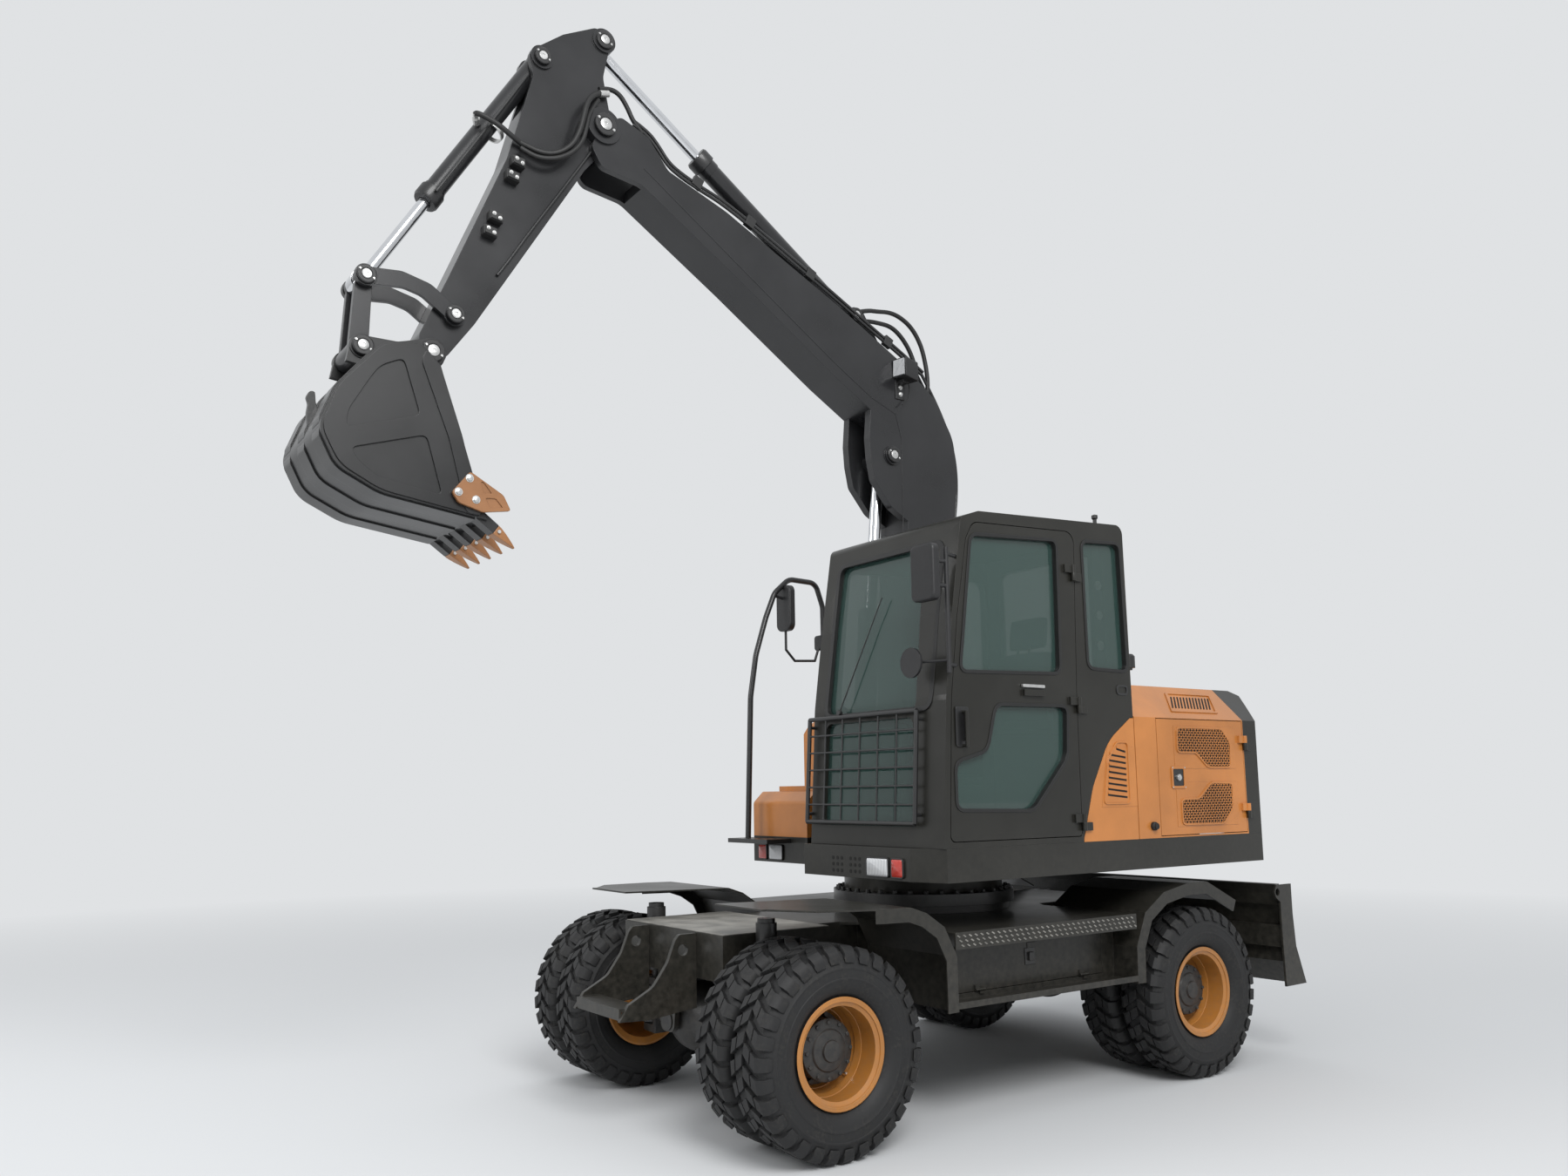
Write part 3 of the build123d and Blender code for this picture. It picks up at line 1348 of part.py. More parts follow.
def engine_cover():
    """The hood: a shell open at both sides for the service doors."""
    x = (BAY_REAR_X, -520)
    shell = cross_plate(BAY_SECTION, x)
    inner = cross_plate(
        [
            (-HOUSE_HALF + COVER, RAIL_TOP),
            (-HOUSE_HALF + COVER, HOOD_SIDE_TOP - 12),
            (-868, HOOD_TOP - COVER),
            (868, HOOD_TOP - COVER),
            (HOUSE_HALF - COVER, HOOD_SIDE_TOP - 12),
            (HOUSE_HALF - COVER, RAIL_TOP),
        ],
        (BAY_REAR_X - 1, BAY_FRONT_X + COVER),
    )
    shell -= inner
    for side in (1, -1):
        y = sorted((side * (HOUSE_HALF - COVER - 1), side * (HOUSE_HALF + 1)))
        shell -= box((SERVICE_X[0] - 4, SERVICE_X[1] + 4), y, (SERVICE_Z[0] - 4, SERVICE_Z[1] + 4))
    # the part beside the cab and behind the tank stays clear of them
    shell -= box((-514.7, 0), (-2000, 2000), (1000, 3000))
    return shell


nodes["engine_cover"] = engine_cover()


def quarter_panel():
    """The louvred panel below the cab's rear quarter, cut to the cab's sweep."""
    y = (HOUSE_HALF - CAB_WALL, HOUSE_HALF)
    x_rear = -514.4
    panel = box((x_rear, -99), y, (RAIL_TOP + 0.3, 1846))
    panel &= side_plate(
        [(px - 4, pz) for px, pz in SWOOP[:5]] + [(-800, 1846), (-800, 1200)], y, SWOOP_ROUNDS
    )
    for i in range(7):
        z = 1420 + i * 36
        slot = box((-520, -330), (HOUSE_HALF - 12, HOUSE_HALF + 1), (z, z + 14))
        panel -= slot & box((-500 + i * 4, -330), (0, 2000), (0, 3000))
    return panel


nodes["quarter_panel"] = quarter_panel()


def service_door(side):
    """A side door with three grille fields of round-ended slots."""
    y = (HOUSE_HALF - COVER, HOUSE_HALF)
    door = box(SERVICE_X, y, SERVICE_Z)
    for low, high in ((1601, 1795), (1300, 1510)):
        for i in range(9):
            z = low + (high - low) * (i + 0.5) / 9
            reach = 40 if i < 3 else 0
            slot = box((BAY_REAR_X + 140, BAY_FRONT_X - 180 - reach), (y[0] - 1, y[1] + 1), (z - 6, z + 6))
            door -= slot
    for part in upright_hinges(SERVICE_HINGE, SERVICE_HEIGHTS, 50)[1]:
        door += part
    return door if side > 0 else mirrored(door)


SERVICE_HINGE = (SERVICE_X[0] - 2, HOUSE_HALF + 14)
SERVICE_HEIGHTS = (1360, 1730)
nodes["service_door_left"] = service_door(1)
nodes["service_door_right"] = service_door(-1)


def counterweight():
    """The cast tail weight that closes the bay."""
    section = cross_plate(BAY_SECTION, (-TAIL_RADIUS, BAY_REAR_X - 0.3))
    weight = section & bar((0, 0, RAIL_TOP + 0.3), (0, 0, HOOD_TOP), TAIL_RADIUS)
    slope = side_plate(
        [(-TAIL_RADIUS - 10, 1900), (-TAIL_RADIUS - 10, 2100), (-1500, 2100), (-1600, HOOD_TOP)],
        (-2000, 2000),
    )
    weight -= slope
    for half in upright_hinges(SERVICE_HINGE, SERVICE_HEIGHTS, 50)[0]:
        weight += half + mirrored(half)
    return weight


nodes["counterweight"] = counterweight()
nodes["engine"] = box((-1340, -790), (-420, 560), (RAIL_TOP + FIT, 1760))


def right_tank():
    """The tall tank cover behind the right-hand box."""
    tank = side_plate(
        [(10, RAIL_TOP + 0.3), (10, 1900), (-70, 2000), (BAY_FRONT_X + 171, HOOD_TOP), (BAY_FRONT_X + 171, RAIL_TOP + 0.3)],
        (-HOUSE_HALF, -510),
        rounds=[0, 40, 60, 0, 0],
    )
    cut = cross_plate([(-HOUSE_HALF - 1, HOOD_SIDE_TOP), (-HOUSE_HALF - 1, 2200), (-870, 2200), (-870, HOOD_TOP)], (-600, 100))
    return tank - cut


nodes["right_tank"] = right_tank()
BOX_LID_Z = 1500


def right_box():
    """The low storage box at the right front, open on top under its lid."""
    outer = side_plate(
        [
            (SIDE_FRONT_X, RAIL_TOP + 0.3),
            (SIDE_FRONT_X, 1435),
            (330, BOX_LID_Z),
            (10.3, BOX_LID_Z),
            (10.3, RAIL_TOP + 0.3),
        ],
        (-HOUSE_HALF, -520),
        rounds=[0, 30, 20, 0, 0],
    )
    inner = box((40, 310), (-HOUSE_HALF + 30, -550), (RAIL_TOP + 30, BOX_LID_Z + 1))
    return outer - inner


nodes["right_box"] = right_box()
LID_HINGE = (28, BOX_LID_Z + 44)
LID_HINGES_Y = (-830, -610)


def right_box_lid():
    """The lid, with the turning halves of its two hinges; the fixed halves stand on the box."""
    lid = box((44, 320), (-900, -540), (BOX_LID_Z + FIT, BOX_LID_Z + 30))
    x, z = LID_HINGE
    for y in LID_HINGES_Y:
        still, turning = hinge_knuckles((x, y, z), (0, 1, 0), 40)
        still += box((x - 6, x + 6), (y - 40, y), (BOX_LID_Z, z - 8))
        turning += box((x + 8, x + 40), (y + FIT, y + 40), (BOX_LID_Z + 30, z))
        turning += box((x + 16, x + 40), (y + FIT, y + 40), (BOX_LID_Z + 20, z))
        nodes["right_box"] += still
        lid += turning
    return lid


nodes["right_box_lid"] = right_box_lid()


def step_plate():
    """The serrated step in front of the right-hand box."""
    plate = box((SIDE_FRONT_X + 0.3, 570), (-1090, -680), (1200, 1225))
    for i in range(3):
        for j in range(5):
            x = 425 + i * 50
            y = -1040 + j * 78
            plate -= bar((x, y, 1199), (x, y, 1226), 14)
    return plate




def hand_rail():
    """The hoop at the right front with its mirror arm."""
    y = -1000
    foot = [(484, 1215), (453, 2075), (410, 2333), (332, 2571), (262, 2733), (150, 2830), (-60, 2823), (-115, 2672)]
    foot.append((-120, 1860))
    path = Plane(origin=(0, y, 0), x_dir=(1, 0, 0), z_dir=(0, -1, 0)) * FilletPolyline(
        *foot, radius=[300, 300, 300, 120, 90, 70, 100]
    )
    start = Plane(origin=(foot[0][0], y, foot[0][1]), z_dir=path % 0)
    rail = sweep(start * Circle(17), path=path) - nodes["right_tank"]
    rail = rail & box((-500, 800), (-1100, -900), (1225 + FIT, 3000))
    return rail.solids().sort_by(SortBy.VOLUME)[-1]


nodes["step_and_rail"] = [step_plate(), hand_rail()]


def mirror_head(x, y, z, depth):
    """A rounded housing between two values on each axis."""
    head = box(x, y, z)
    head = fillet(head.edges().filter_by(Axis.X), depth)
    return fillet(head.faces().sort_by(Axis.X)[-1].edges(), 12)


def mirrors():
    """Left mirror on a tube along the cab's pillar with a round one below, right pair on the hoop."""
    parts = []
    tube_x, tube_y = 772, HOUSE_HALF + 16
    left = bar((tube_x, tube_y, 2020), (tube_x, tube_y, 2600), 11)
    for z in (2060, 2570):
        left += bar((tube_x, tube_y, z), (tube_x - 110, tube_y - 40, z), 9)
    left += mirror_head((832, 872), (940, 1095), (2350, 2612), 30)
    for z in (2420, 2533):
        left += bar((tube_x, tube_y, z), (850, tube_y - 20, z), 9)
    left += bar((tube_x, tube_y, 2080), (856, 914, 2078), 6)
    left += bar((850, 914, 2078), (862, 914, 2078), 70)
    parts.append(left - cab_outer())
    y = -1000
    right = mirror_head((160, 200), (-1075, -925), (2497, 2785), 45)
    right += bar((180, y, 2700), (262, y, 2715), 9)
    arm = [(180, 2500), (180, 2380), (113, 2313), (-45, 2321), (-82, 2420)]
    for start, end in zip(arm, arm[1:]):
        right += bar((start[0], y, start[1]), (end[0], y, end[1]), 8)
        right += Pos(end[0], y, end[1]) * Sphere(8)
    right += mirror_head((-100, -72), (-1045, -955), (2390, 2487), 20)
    parts.append(right - nodes["step_and_rail"][1])
    return parts


nodes["mirrors"] = mirrors()


def lamps():
    """Front lamp units: white and red, left and right, and the two roof posts."""
    parts = [box((HOUSE_FRONT_X, HOUSE_FRONT_X + 14), (582, 733), (1097, 1183))]
    parts.append(box((HOUSE_FRONT_X, HOUSE_FRONT_X + 14), (759, 835), (1112, 1174)))
    parts.append(box((SIDE_FRONT_X, SIDE_FRONT_X + 14), (-890, -760), (1100, 1180)))
    parts.append(box((SIDE_FRONT_X, SIDE_FRONT_X + 14), (-1000, -920), (1105, 1175)))
    return parts


nodes["lamps"] = lamps()


def export_all():
    os.makedirs("parts", exist_ok=True)
    pieces = {name: shape if isinstance(shape, list) else shape.solids() for name, shape in nodes.items()}
    boxes = [solid.bounding_box() for solids in pieces.values() for solid in solids]
    x = (min(b.min.X for b in boxes) + max(b.max.X for b in boxes)) / 2
    y = (min(b.min.Y for b in boxes) + max(b.max.Y for b in boxes)) / 2
    shift = Pos(-x, -y, -min(b.min.Z for b in boxes))
    print("shift", shift.position)
    for name, solids in pieces.items():
        export_step(Compound([shift * solid for solid in solids]), "parts/" + name + ".step")


export_all()
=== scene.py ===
import json
import math

import bmesh
import bpy
from mathutils import Matrix, Vector
from mathutils.geometry import tessellate_polygon


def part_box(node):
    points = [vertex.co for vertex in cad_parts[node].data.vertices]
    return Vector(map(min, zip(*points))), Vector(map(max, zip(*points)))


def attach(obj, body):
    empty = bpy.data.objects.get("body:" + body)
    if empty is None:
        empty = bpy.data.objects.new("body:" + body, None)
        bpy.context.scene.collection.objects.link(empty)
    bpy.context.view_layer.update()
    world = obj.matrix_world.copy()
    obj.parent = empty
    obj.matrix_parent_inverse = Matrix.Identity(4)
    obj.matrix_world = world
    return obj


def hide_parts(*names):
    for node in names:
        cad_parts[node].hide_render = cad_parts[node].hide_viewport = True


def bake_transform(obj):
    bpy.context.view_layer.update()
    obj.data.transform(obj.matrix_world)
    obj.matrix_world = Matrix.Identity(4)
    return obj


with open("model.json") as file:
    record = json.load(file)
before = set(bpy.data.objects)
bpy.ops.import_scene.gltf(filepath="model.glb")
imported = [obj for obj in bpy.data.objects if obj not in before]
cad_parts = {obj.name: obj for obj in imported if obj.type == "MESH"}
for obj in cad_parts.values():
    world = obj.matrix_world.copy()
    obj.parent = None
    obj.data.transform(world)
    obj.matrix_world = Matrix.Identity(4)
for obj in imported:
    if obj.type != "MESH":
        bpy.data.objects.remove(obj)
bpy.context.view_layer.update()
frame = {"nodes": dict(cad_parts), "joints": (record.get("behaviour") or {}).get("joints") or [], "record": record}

# ---- viewpoint
# The machine stands on the floor seen from its front left corner, from a standing adult's
# height.  Places are written from the slewing axis at ground level: x forward, y left, z up.
slewing_axis = next(j for j in frame["joints"] if j["name"] == "slew")["pos_m"]


def spot(x, y, z):
    """A point given from the slewing axis, in the frame that all pieces share."""
    return Vector((x + slewing_axis[0], y + slewing_axis[1], z))


def look(yaw, pitch, roll):
    """The three axes of a camera that looks along yaw and pitch and is tilted by roll, degrees."""
    yaw, pitch, roll = (math.radians(a) for a in (yaw, pitch, roll))
    ahead = Vector((math.cos(yaw) * math.cos(pitch), math.sin(yaw) * math.cos(pitch), math.sin(pitch)))
    right = ahead.cross(Vector((0, 0, 1))).normalized()
    up = right.cross(ahead)
    tilted_right = math.cos(roll) * right + math.sin(roll) * up
    tilted_up = math.cos(roll) * up - math.sin(roll) * right
    return Matrix((tilted_right, tilted_up, -ahead)).transposed().to_4x4()


def stood(name, data):
    """A new object in the scene that carries the data."""
    made = bpy.data.objects.new(name, data)
    bpy.context.scene.collection.objects.link(made)
    return made


camera_data = bpy.data.cameras.new("camera")
camera = stood("camera", camera_data)
camera_data.sensor_width = 36
camera_data.lens = 27.233
camera_data.shift_x = 0.0173
camera_data.shift_y = 0.0398
camera_data.clip_end = 400
camera.matrix_world = Matrix.Translation(spot(4.503, 4.981, 1.502)) @ look(-124.44, 6.775, -0.799)
bpy.context.scene.camera = camera
bpy.context.scene.view_settings.view_transform = "Standard"


# ---- floor and light
# A plain pale studio floor that runs into a background of the same colour, under one broad
# soft lamp from the front left and an even sky.
class Reading:
    """A number read from a shader node, so that a finish is written as plain sums."""

    def __init__(self, finish, socket):
        self.finish = finish
        self.socket = socket

    def maths(self, operation, *others, clamp=False):
        """The reading put through one Math node, with any further values."""
        values = dict(enumerate((self,) + others))
        return self.finish.node("ShaderNodeMath", {"operation": operation, "use_clamp": clamp}, values)

    def __add__(self, other):
        return self.maths("ADD", other)

    def __sub__(self, other):
        return self.maths("SUBTRACT", other)

    def __rsub__(self, other):
        return self * -1 + other

    def __mul__(self, other):
        return self.maths("MULTIPLY", other)

    def __truediv__(self, other):
        return self.maths("DIVIDE", other)

    __radd__ = __add__
    __rmul__ = __mul__

    def between(self, low, high):
        """0 below low, 1 above high, straight in between."""
        return ((self - low) / (high - low)).maths("ADD", 0.0, clamp=True)


class Finish:
    """One material under construction."""

    def __init__(self, name, tree=None):
        if tree is None:
            self.material = bpy.data.materials.new(name)
            self.material.use_nodes = True
            tree = self.material.node_tree
        self.tree = tree
        tree.nodes.clear()

    def node(self, kind, settings=None, values=None, out=0):
        """A shader node with its settings, then the values or links of its sockets."""
        made = self.tree.nodes.new(kind)
        for key, value in (settings or {}).items():
            setattr(made, key, value)
        for key, value in (values or {}).items():
            socket = made.inputs[key]
            if isinstance(value, Reading):
                self.tree.links.new(value.socket, socket)
            elif isinstance(value, tuple) and len(value) == 3 and socket.type == "RGBA":
                socket.default_value = (*value, 1)
            else:
                socket.default_value = value
        return Reading(self, made.outputs[out]) if made.outputs else None

    def place(self):
        """Where a point lies on the machine."""
        return self.node("ShaderNodeTexCoord", out="Object")

    def height(self):
        """How high a point lies above the ground, metres."""
        return self.node("ShaderNodeSeparateXYZ", None, {0: self.place()}, out="Z")

    def noise(self, scale, detail=4.0):
        """Noise of a size given as waves per metre, about 0.5."""
        values = {"Vector": self.place(), "Scale": scale, "Detail": detail, "Roughness": 0.55}
        return self.node("ShaderNodeTexNoise", None, values)

    def worn_edges(self, radius):
        """1 along outer and inner corners within radius, 0 on flat stretches."""
        soft = self.node("ShaderNodeBevel", {"samples": 4}, {"Radius": radius})
        flat = self.node("ShaderNodeNewGeometry", out="Normal")
        agree = self.node("ShaderNodeVectorMath", {"operation": "DOT_PRODUCT"}, {0: soft, 1: flat},
                          out="Value")
        return (1 - agree).between(0.01, 0.12)

    def mix(self, share, first, second):
        """A colour between two, by a share from 0 to 1."""
        values = {"Factor": share, 6: first, 7: second}
        return self.node("ShaderNodeMix", {"data_type": "RGBA"}, values, out=2)

    def bump(self, height, strength, distance, radius=None):
        """Fine relief, over corners rounded to a radius where one is given."""
        values = {"Height": height, "Strength": strength, "Distance": distance}
        if radius:
            values["Normal"] = self.node("ShaderNodeBevel", {"samples": 4}, {"Radius": radius})
        return self.node("ShaderNodeBump", None, values)

    def surface(self, **values):
        """Ends the material in one Principled surface; names are written with underscores."""
        named = {key.replace("_", " "): value for key, value in values.items()}
        shader = self.node("ShaderNodeBsdfPrincipled", None, named)
        self.node("ShaderNodeOutputMaterial", None, {"Surface": shader})
        return self.material


studio = bpy.data.worlds.new("studio")
studio.use_nodes = True
bpy.context.scene.world = studio
sky = Finish("studio", studio.node_tree)
path = sky.tree.nodes.new("ShaderNodeLightPath")
seen = Reading(sky, path.outputs["Is Camera Ray"])
mirrored = Reading(sky, path.outputs["Is Glossy Ray"])
through = Reading(sky, path.outputs["Is Transmission Ray"])
height = sky.node("ShaderNodeSeparateXYZ", None, {0: sky.node("ShaderNodeTexCoord", out="Generated")},
                  out="Z")
BACKGROUND = (0.745, 0.760, 0.775)
dome = sky.mix(height.between(-0.15, 0.5), (0.42, 0.43, 0.43), (0.98, 1.0, 1.02))
light = sky.node("ShaderNodeBackground", None, {"Color": dome, "Strength": 0.78})
backdrop = sky.node("ShaderNodeBackground", None, {"Color": BACKGROUND, "Strength": 1.0})
shown = (seen + mirrored * 0.35 + through).maths("ADD", 0.0, clamp=True)
both = sky.node("ShaderNodeMixShader", None, {0: shown, 1: light, 2: backdrop})
sky.node("ShaderNodeOutputWorld", None, {"Surface": both})

for name, place, size, power, target in (
    ("key_lamp", (3.5, 7.5, 7.5), 5.0, 620, (0.6, 0, 1.5)),
    ("fill_lamp", (8.0, -3.0, 5.0), 4.0, 160, (1.0, 0, 2.0)),
):
    lamp = stood(name, bpy.data.lights.new(name, "AREA"))
    lamp.data.shape = "DISK"
    lamp.data.size = size
    lamp.data.energy = power
    aim = spot(*target) - spot(*place)
    lamp.matrix_world = Matrix.Translation(spot(*place)) @ aim.to_track_quat("-Z", "Y").to_matrix().to_4x4()

disc = bmesh.new()
bmesh.ops.create_circle(disc, cap_ends=True, segments=64, radius=120)
floor_mesh = bpy.data.meshes.new("floor")
disc.to_mesh(floor_mesh)
floor = stood("floor", floor_mesh)
ground = Finish("floor")
far = ground.node("ShaderNodeVectorMath", {"operation": "LENGTH"}, {0: ground.place()}, out="Value")
matt = ground.node("ShaderNodeBsdfDiffuse", None, {"Color": (0.66, 0.67, 0.68)})
glow = ground.node("ShaderNodeEmission", None, {"Color": BACKGROUND, "Strength": 1.0})
blend = ground.node("ShaderNodeMixShader", None, {0: far.between(4.0, 14.0), 1: matt, 2: glow})
ground.node("ShaderNodeOutputMaterial", None, {"Surface": blend})
floor_mesh.materials.append(ground.material)


# ---- tyres
# Eight radial traction tyres in four pairs.  The carcass is moulded rubber; each half of the
# tread carries a row of centre blocks and a row of shoulder lugs that wrap onto the sidewall.
def cleaned(data, merge=True):
    """The mesh with its doubled points merged, where asked, and its faces turned outwards."""
    shell = bmesh.new()
    shell.from_mesh(data)
    if merge:
        bmesh.ops.remove_doubles(shell, verts=shell.verts, dist=1e-6)
    bmesh.ops.recalc_face_normals(shell, faces=shell.faces)
    shell.to_mesh(data)
    shell.free()
    return data


def oblong(a, b):
    """The four corners between two pairs of values."""
    return [(a[0], b[0]), (a[1], b[0]), (a[1], b[1]), (a[0], b[1])]


class Work:
    """One piece made up of plates, turned forms and bars, in the shared frame."""

    def __init__(self):
        self.points = []
        self.faces = []

    def skin(self, rings, closed=True):
        """Joins rings of points, each to the next; a closed run has no ends, an open one is capped."""
        base = len(self.points)
        count = len(rings[0])
        for ring in rings:
            self.points.extend(Vector(p) for p in ring)
        last = len(rings) - 1
        for i in range(last + closed):
            a, b = base + i * count, base + (i + 1) % len(rings) * count
            for j in range(count):
                k = (j + 1) % count
                self.faces.append((a + j, a + k, b + k, b + j))
        if not closed:
            self.faces.append(tuple(range(base, base + count))[::-1])
            self.faces.append(tuple(range(base + last * count, base + (last + 1) * count)))
        return self

    def sheet(self, outline, place, low, high):
        """A plate between two levels of one outline; place maps (a, b, level) to a point."""
        return self.skin([[place(*p, level) for p in outline] for level in (low, high)], closed=False)

    def plate_y(self, outline, y):
        """A plate in XZ between two y values, metres from the slewing axis."""
        return self.sheet(outline, lambda a, b, level: spot(a, level, b), *y)

    def plate_x(self, outline, x):
        """A plate in YZ between two x values."""
        return self.sheet(outline, lambda a, b, level: spot(level, a, b), *x)

    def block(self, x, y, z):
        """A box between pairs of values."""
        return self.plate_y(oblong(x, z), y)

    def turned(self, profile, base, axis, sides=24):
        """A solid of revolution from (distance along the axis, radius) pairs."""
        axis = Vector(axis).normalized()
        first = axis.orthogonal().normalized()
        second = axis.cross(first)
        rings = []
        for reach, radius in profile:
            middle = base + axis * reach
            rings.append([
                middle + (first * math.cos(a) + second * math.sin(a)) * max(radius, 1e-5)
                for a in (2 * math.pi * i / sides for i in range(sides))
            ])
        return self.skin(rings, closed=False)

    def ring(self, profile, base, axis, sides=48):
        """A closed ring turned from a closed section."""
        axis = Vector(axis).normalized()
        first = axis.orthogonal().normalized()
        second = axis.cross(first)
        rings = []
        for i in range(sides):
            a = 2 * math.pi * i / sides
            out = first * math.cos(a) + second * math.sin(a)
            rings.append([base + axis * reach + out * radius for reach, radius in profile])
        return self.skin(rings)

    def bolt(self, place, axis, radius, height):
        """A hexagon head on its washer."""
        self.turned([(0, radius * 1.35), (height * 0.2, radius * 1.35)], place, axis, 14)
        profile = [(height * 0.2, radius), (height * 0.9, radius), (height, radius * 0.85)]
        return self.turned(profile, place, axis, 6)

    def mesh(self, name):
        """The piece as a mesh, merged and turned outwards."""
        data = bpy.data.meshes.new(name)
        data.from_pydata([tuple(p) for p in self.points], [], self.faces)
        return cleaned(data)


def fit(data, finish, body, smooth=40, round_off=0.0, stands_for=()):
    """Puts a finished mesh on the body named by a string; given anything else, the piece stays where it is,
    carried by no body.
    """
    piece = stood(data.name, data)
    if finish:
        data.materials.clear()
        data.materials.append(finish)
    data.shade_smooth()
    data.set_sharp_from_angle(angle=math.radians(smooth))
    if round_off:
        bevel = piece.modifiers.new("rounded", "BEVEL")
        bevel.width = round_off
        bevel.segments = 2
        bevel.limit_method = "ANGLE"
        bevel.angle_limit = math.radians(35)
        bevel.harden_normals = True
    if isinstance(body, str):
        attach(piece, body)
    else:
        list(body)
        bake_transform(piece)
    if stands_for:
        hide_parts(*stands_for)
    return piece


def layout_tree():
    """Copies of the incoming piece in rows: each is stepped and turned on from the last."""
    tree = bpy.data.node_groups.new("laid_out_in_rows", "GeometryNodeTree")
    for name, kind in (
        ("Piece", "NodeSocketGeometry"), ("Count", "NodeSocketInt"), ("Rows", "NodeSocketInt"),
        ("Step", "NodeSocketVector"), ("Row Step", "NodeSocketVector"), ("Turn", "NodeSocketVector"),
        ("Finish", "NodeSocketMaterial"),
    ):
        tree.interface.new_socket(name, in_out="INPUT", socket_type=kind)
    tree.interface.new_socket("Pieces", in_out="OUTPUT", socket_type="NodeSocketGeometry")

    def node(kind, settings=None, **links):
        """A node with its settings; i0 names a socket by its number, other names by their words."""
        made = tree.nodes.new(kind)
        for key, value in (settings or {}).items():
            setattr(made, key, value)
        for key, value in links.items():
            numbered = key[0] == "i" and key[1:].isdigit()
            socket = made.inputs[int(key[1:]) if numbered else key.replace("_", " ")]
            if hasattr(value, "is_output"):
                tree.links.new(value, socket)
            else:
                socket.default_value = value
        return made.outputs

    given = node("NodeGroupInput")
    total = node("ShaderNodeMath", {"operation": "MULTIPLY"}, i0=given["Count"], i1=given["Rows"])[0]
    index = node("GeometryNodeInputIndex")[0]
    column = node("ShaderNodeMath", {"operation": "MODULO"}, i0=index, i1=given["Count"])[0]
    share = node("ShaderNodeMath", {"operation": "DIVIDE"}, i0=index, i1=given["Count"])[0]
    row = node("ShaderNodeMath", {"operation": "FLOOR"}, i0=share)[0]
    across = node("ShaderNodeVectorMath", {"operation": "SCALE"}, i0=given["Step"], Scale=column)[0]
    down = node("ShaderNodeVectorMath", {"operation": "SCALE"}, i0=given["Row Step"], Scale=row)[0]
    place = node("ShaderNodeVectorMath", {"operation": "ADD"}, i0=across, i1=down)[0]
    turn = node("ShaderNodeVectorMath", {"operation": "SCALE"}, i0=given["Turn"], Scale=column)[0]
    seats = node("GeometryNodePoints", None, Count=total, Position=place)[0]
    copies = node(
        "GeometryNodeInstanceOnPoints", None, Points=seats, Instance=given["Piece"], Rotation=turn
    )[0]
    real = node("GeometryNodeRealizeInstances", None, Geometry=copies)[0]
    done = node("GeometryNodeSetMaterial", None, Geometry=real, Material=given["Finish"])[0]
    node("NodeGroupOutput", None, Pieces=done)
    return tree


rows_tree = layout_tree()


def laid_out(data, finish, count, rows=1, step=(0, 0, 0), row_step=(0, 0, 0), turn=(0, 0, 0)):
    """Many copies of a small mesh; turn is the angle from each copy to the next, about the origin."""
    carrier = stood(data.name, data)
    modifier = carrier.modifiers.new("tree", "NODES")
    modifier.node_group = rows_tree
    inputs = {"Count": count, "Rows": rows, "Step": step, "Row Step": row_step, "Turn": turn,
              "Finish": finish}
    for item in rows_tree.interface.items_tree:
        if item.name in inputs:
            modifier[item.identifier] = inputs[item.name]
    carrier.update_tag()
    made = bpy.data.meshes.new_from_object(carrier.evaluated_get(bpy.context.evaluated_depsgraph_get()))
    made.name = data.name
    bpy.data.objects.remove(carrier)
    return made


def joined(name, parts):
    """Several meshes made one."""
    data = bpy.data.meshes.new(name)
    whole = bmesh.new()
    for part in parts:
        whole.from_mesh(part)
    whole.to_mesh(data)
    whole.free()
    return data


rubber_finish = Finish("tyre_rubber")
worn = rubber_finish.noise(11.0, 6.0).between(0.42, 0.75)
dusty = rubber_finish.noise(70.0, 3.0).between(0.45, 0.8) * worn
rubber = rubber_finish.surface(
    Base_Color=rubber_finish.mix(dusty, (0.0095, 0.0095, 0.010), (0.040, 0.037, 0.031)),
    Roughness=worn * 0.12 + 0.62,
    Normal=rubber_finish.bump(rubber_finish.noise(260.0, 3.0), 0.25, 0.0006, 0.002),
)
TYRE_RADIUS = 0.4325
TREAD_BASE = 0.4145
TYRE_MIDDLES = (0.9525, 0.6825)
LUGS = 31
LUG_HALF = 0.0285
TREAD_SLANT = 0.62
# half of the carcass section, bead to crown, as (radius, distance from the tyre's middle)
CARCASS = (
    (0.206, 0.070), (0.229, 0.0725), (0.245, 0.091), (0.262, 0.1035), (0.285, 0.1125), (0.296, 0.1150),
    (0.299, 0.1168), (0.304, 0.1168), (0.307, 0.1150), (0.338, 0.1150), (0.341, 0.1166), (0.347, 0.1164),
    (0.350, 0.1142), (0.376, 0.1100), (0.396, 0.1000), (0.410, 0.0840), (TREAD_BASE, 0.0600),
    (TREAD_BASE, 0.0),
)


def tread_block(stations):
    """One rubber block; a station is (distance from the middle, top radius, base radius, half width)."""
    made = Work()
    rings = []
    for reach, top, base, half in stations:
        slant = TREAD_SLANT * min(reach, 0.085)
        corners = []
        for radius, sideways in ((base, -half * 1.12), (base, half * 1.12), (top, half), (top, -half)):
            a = (slant + sideways) / TYRE_RADIUS
            corners.append((radius * math.sin(a), reach, radius * math.cos(a)))
        rings.append(corners)
    return made.skin(rings, closed=False)


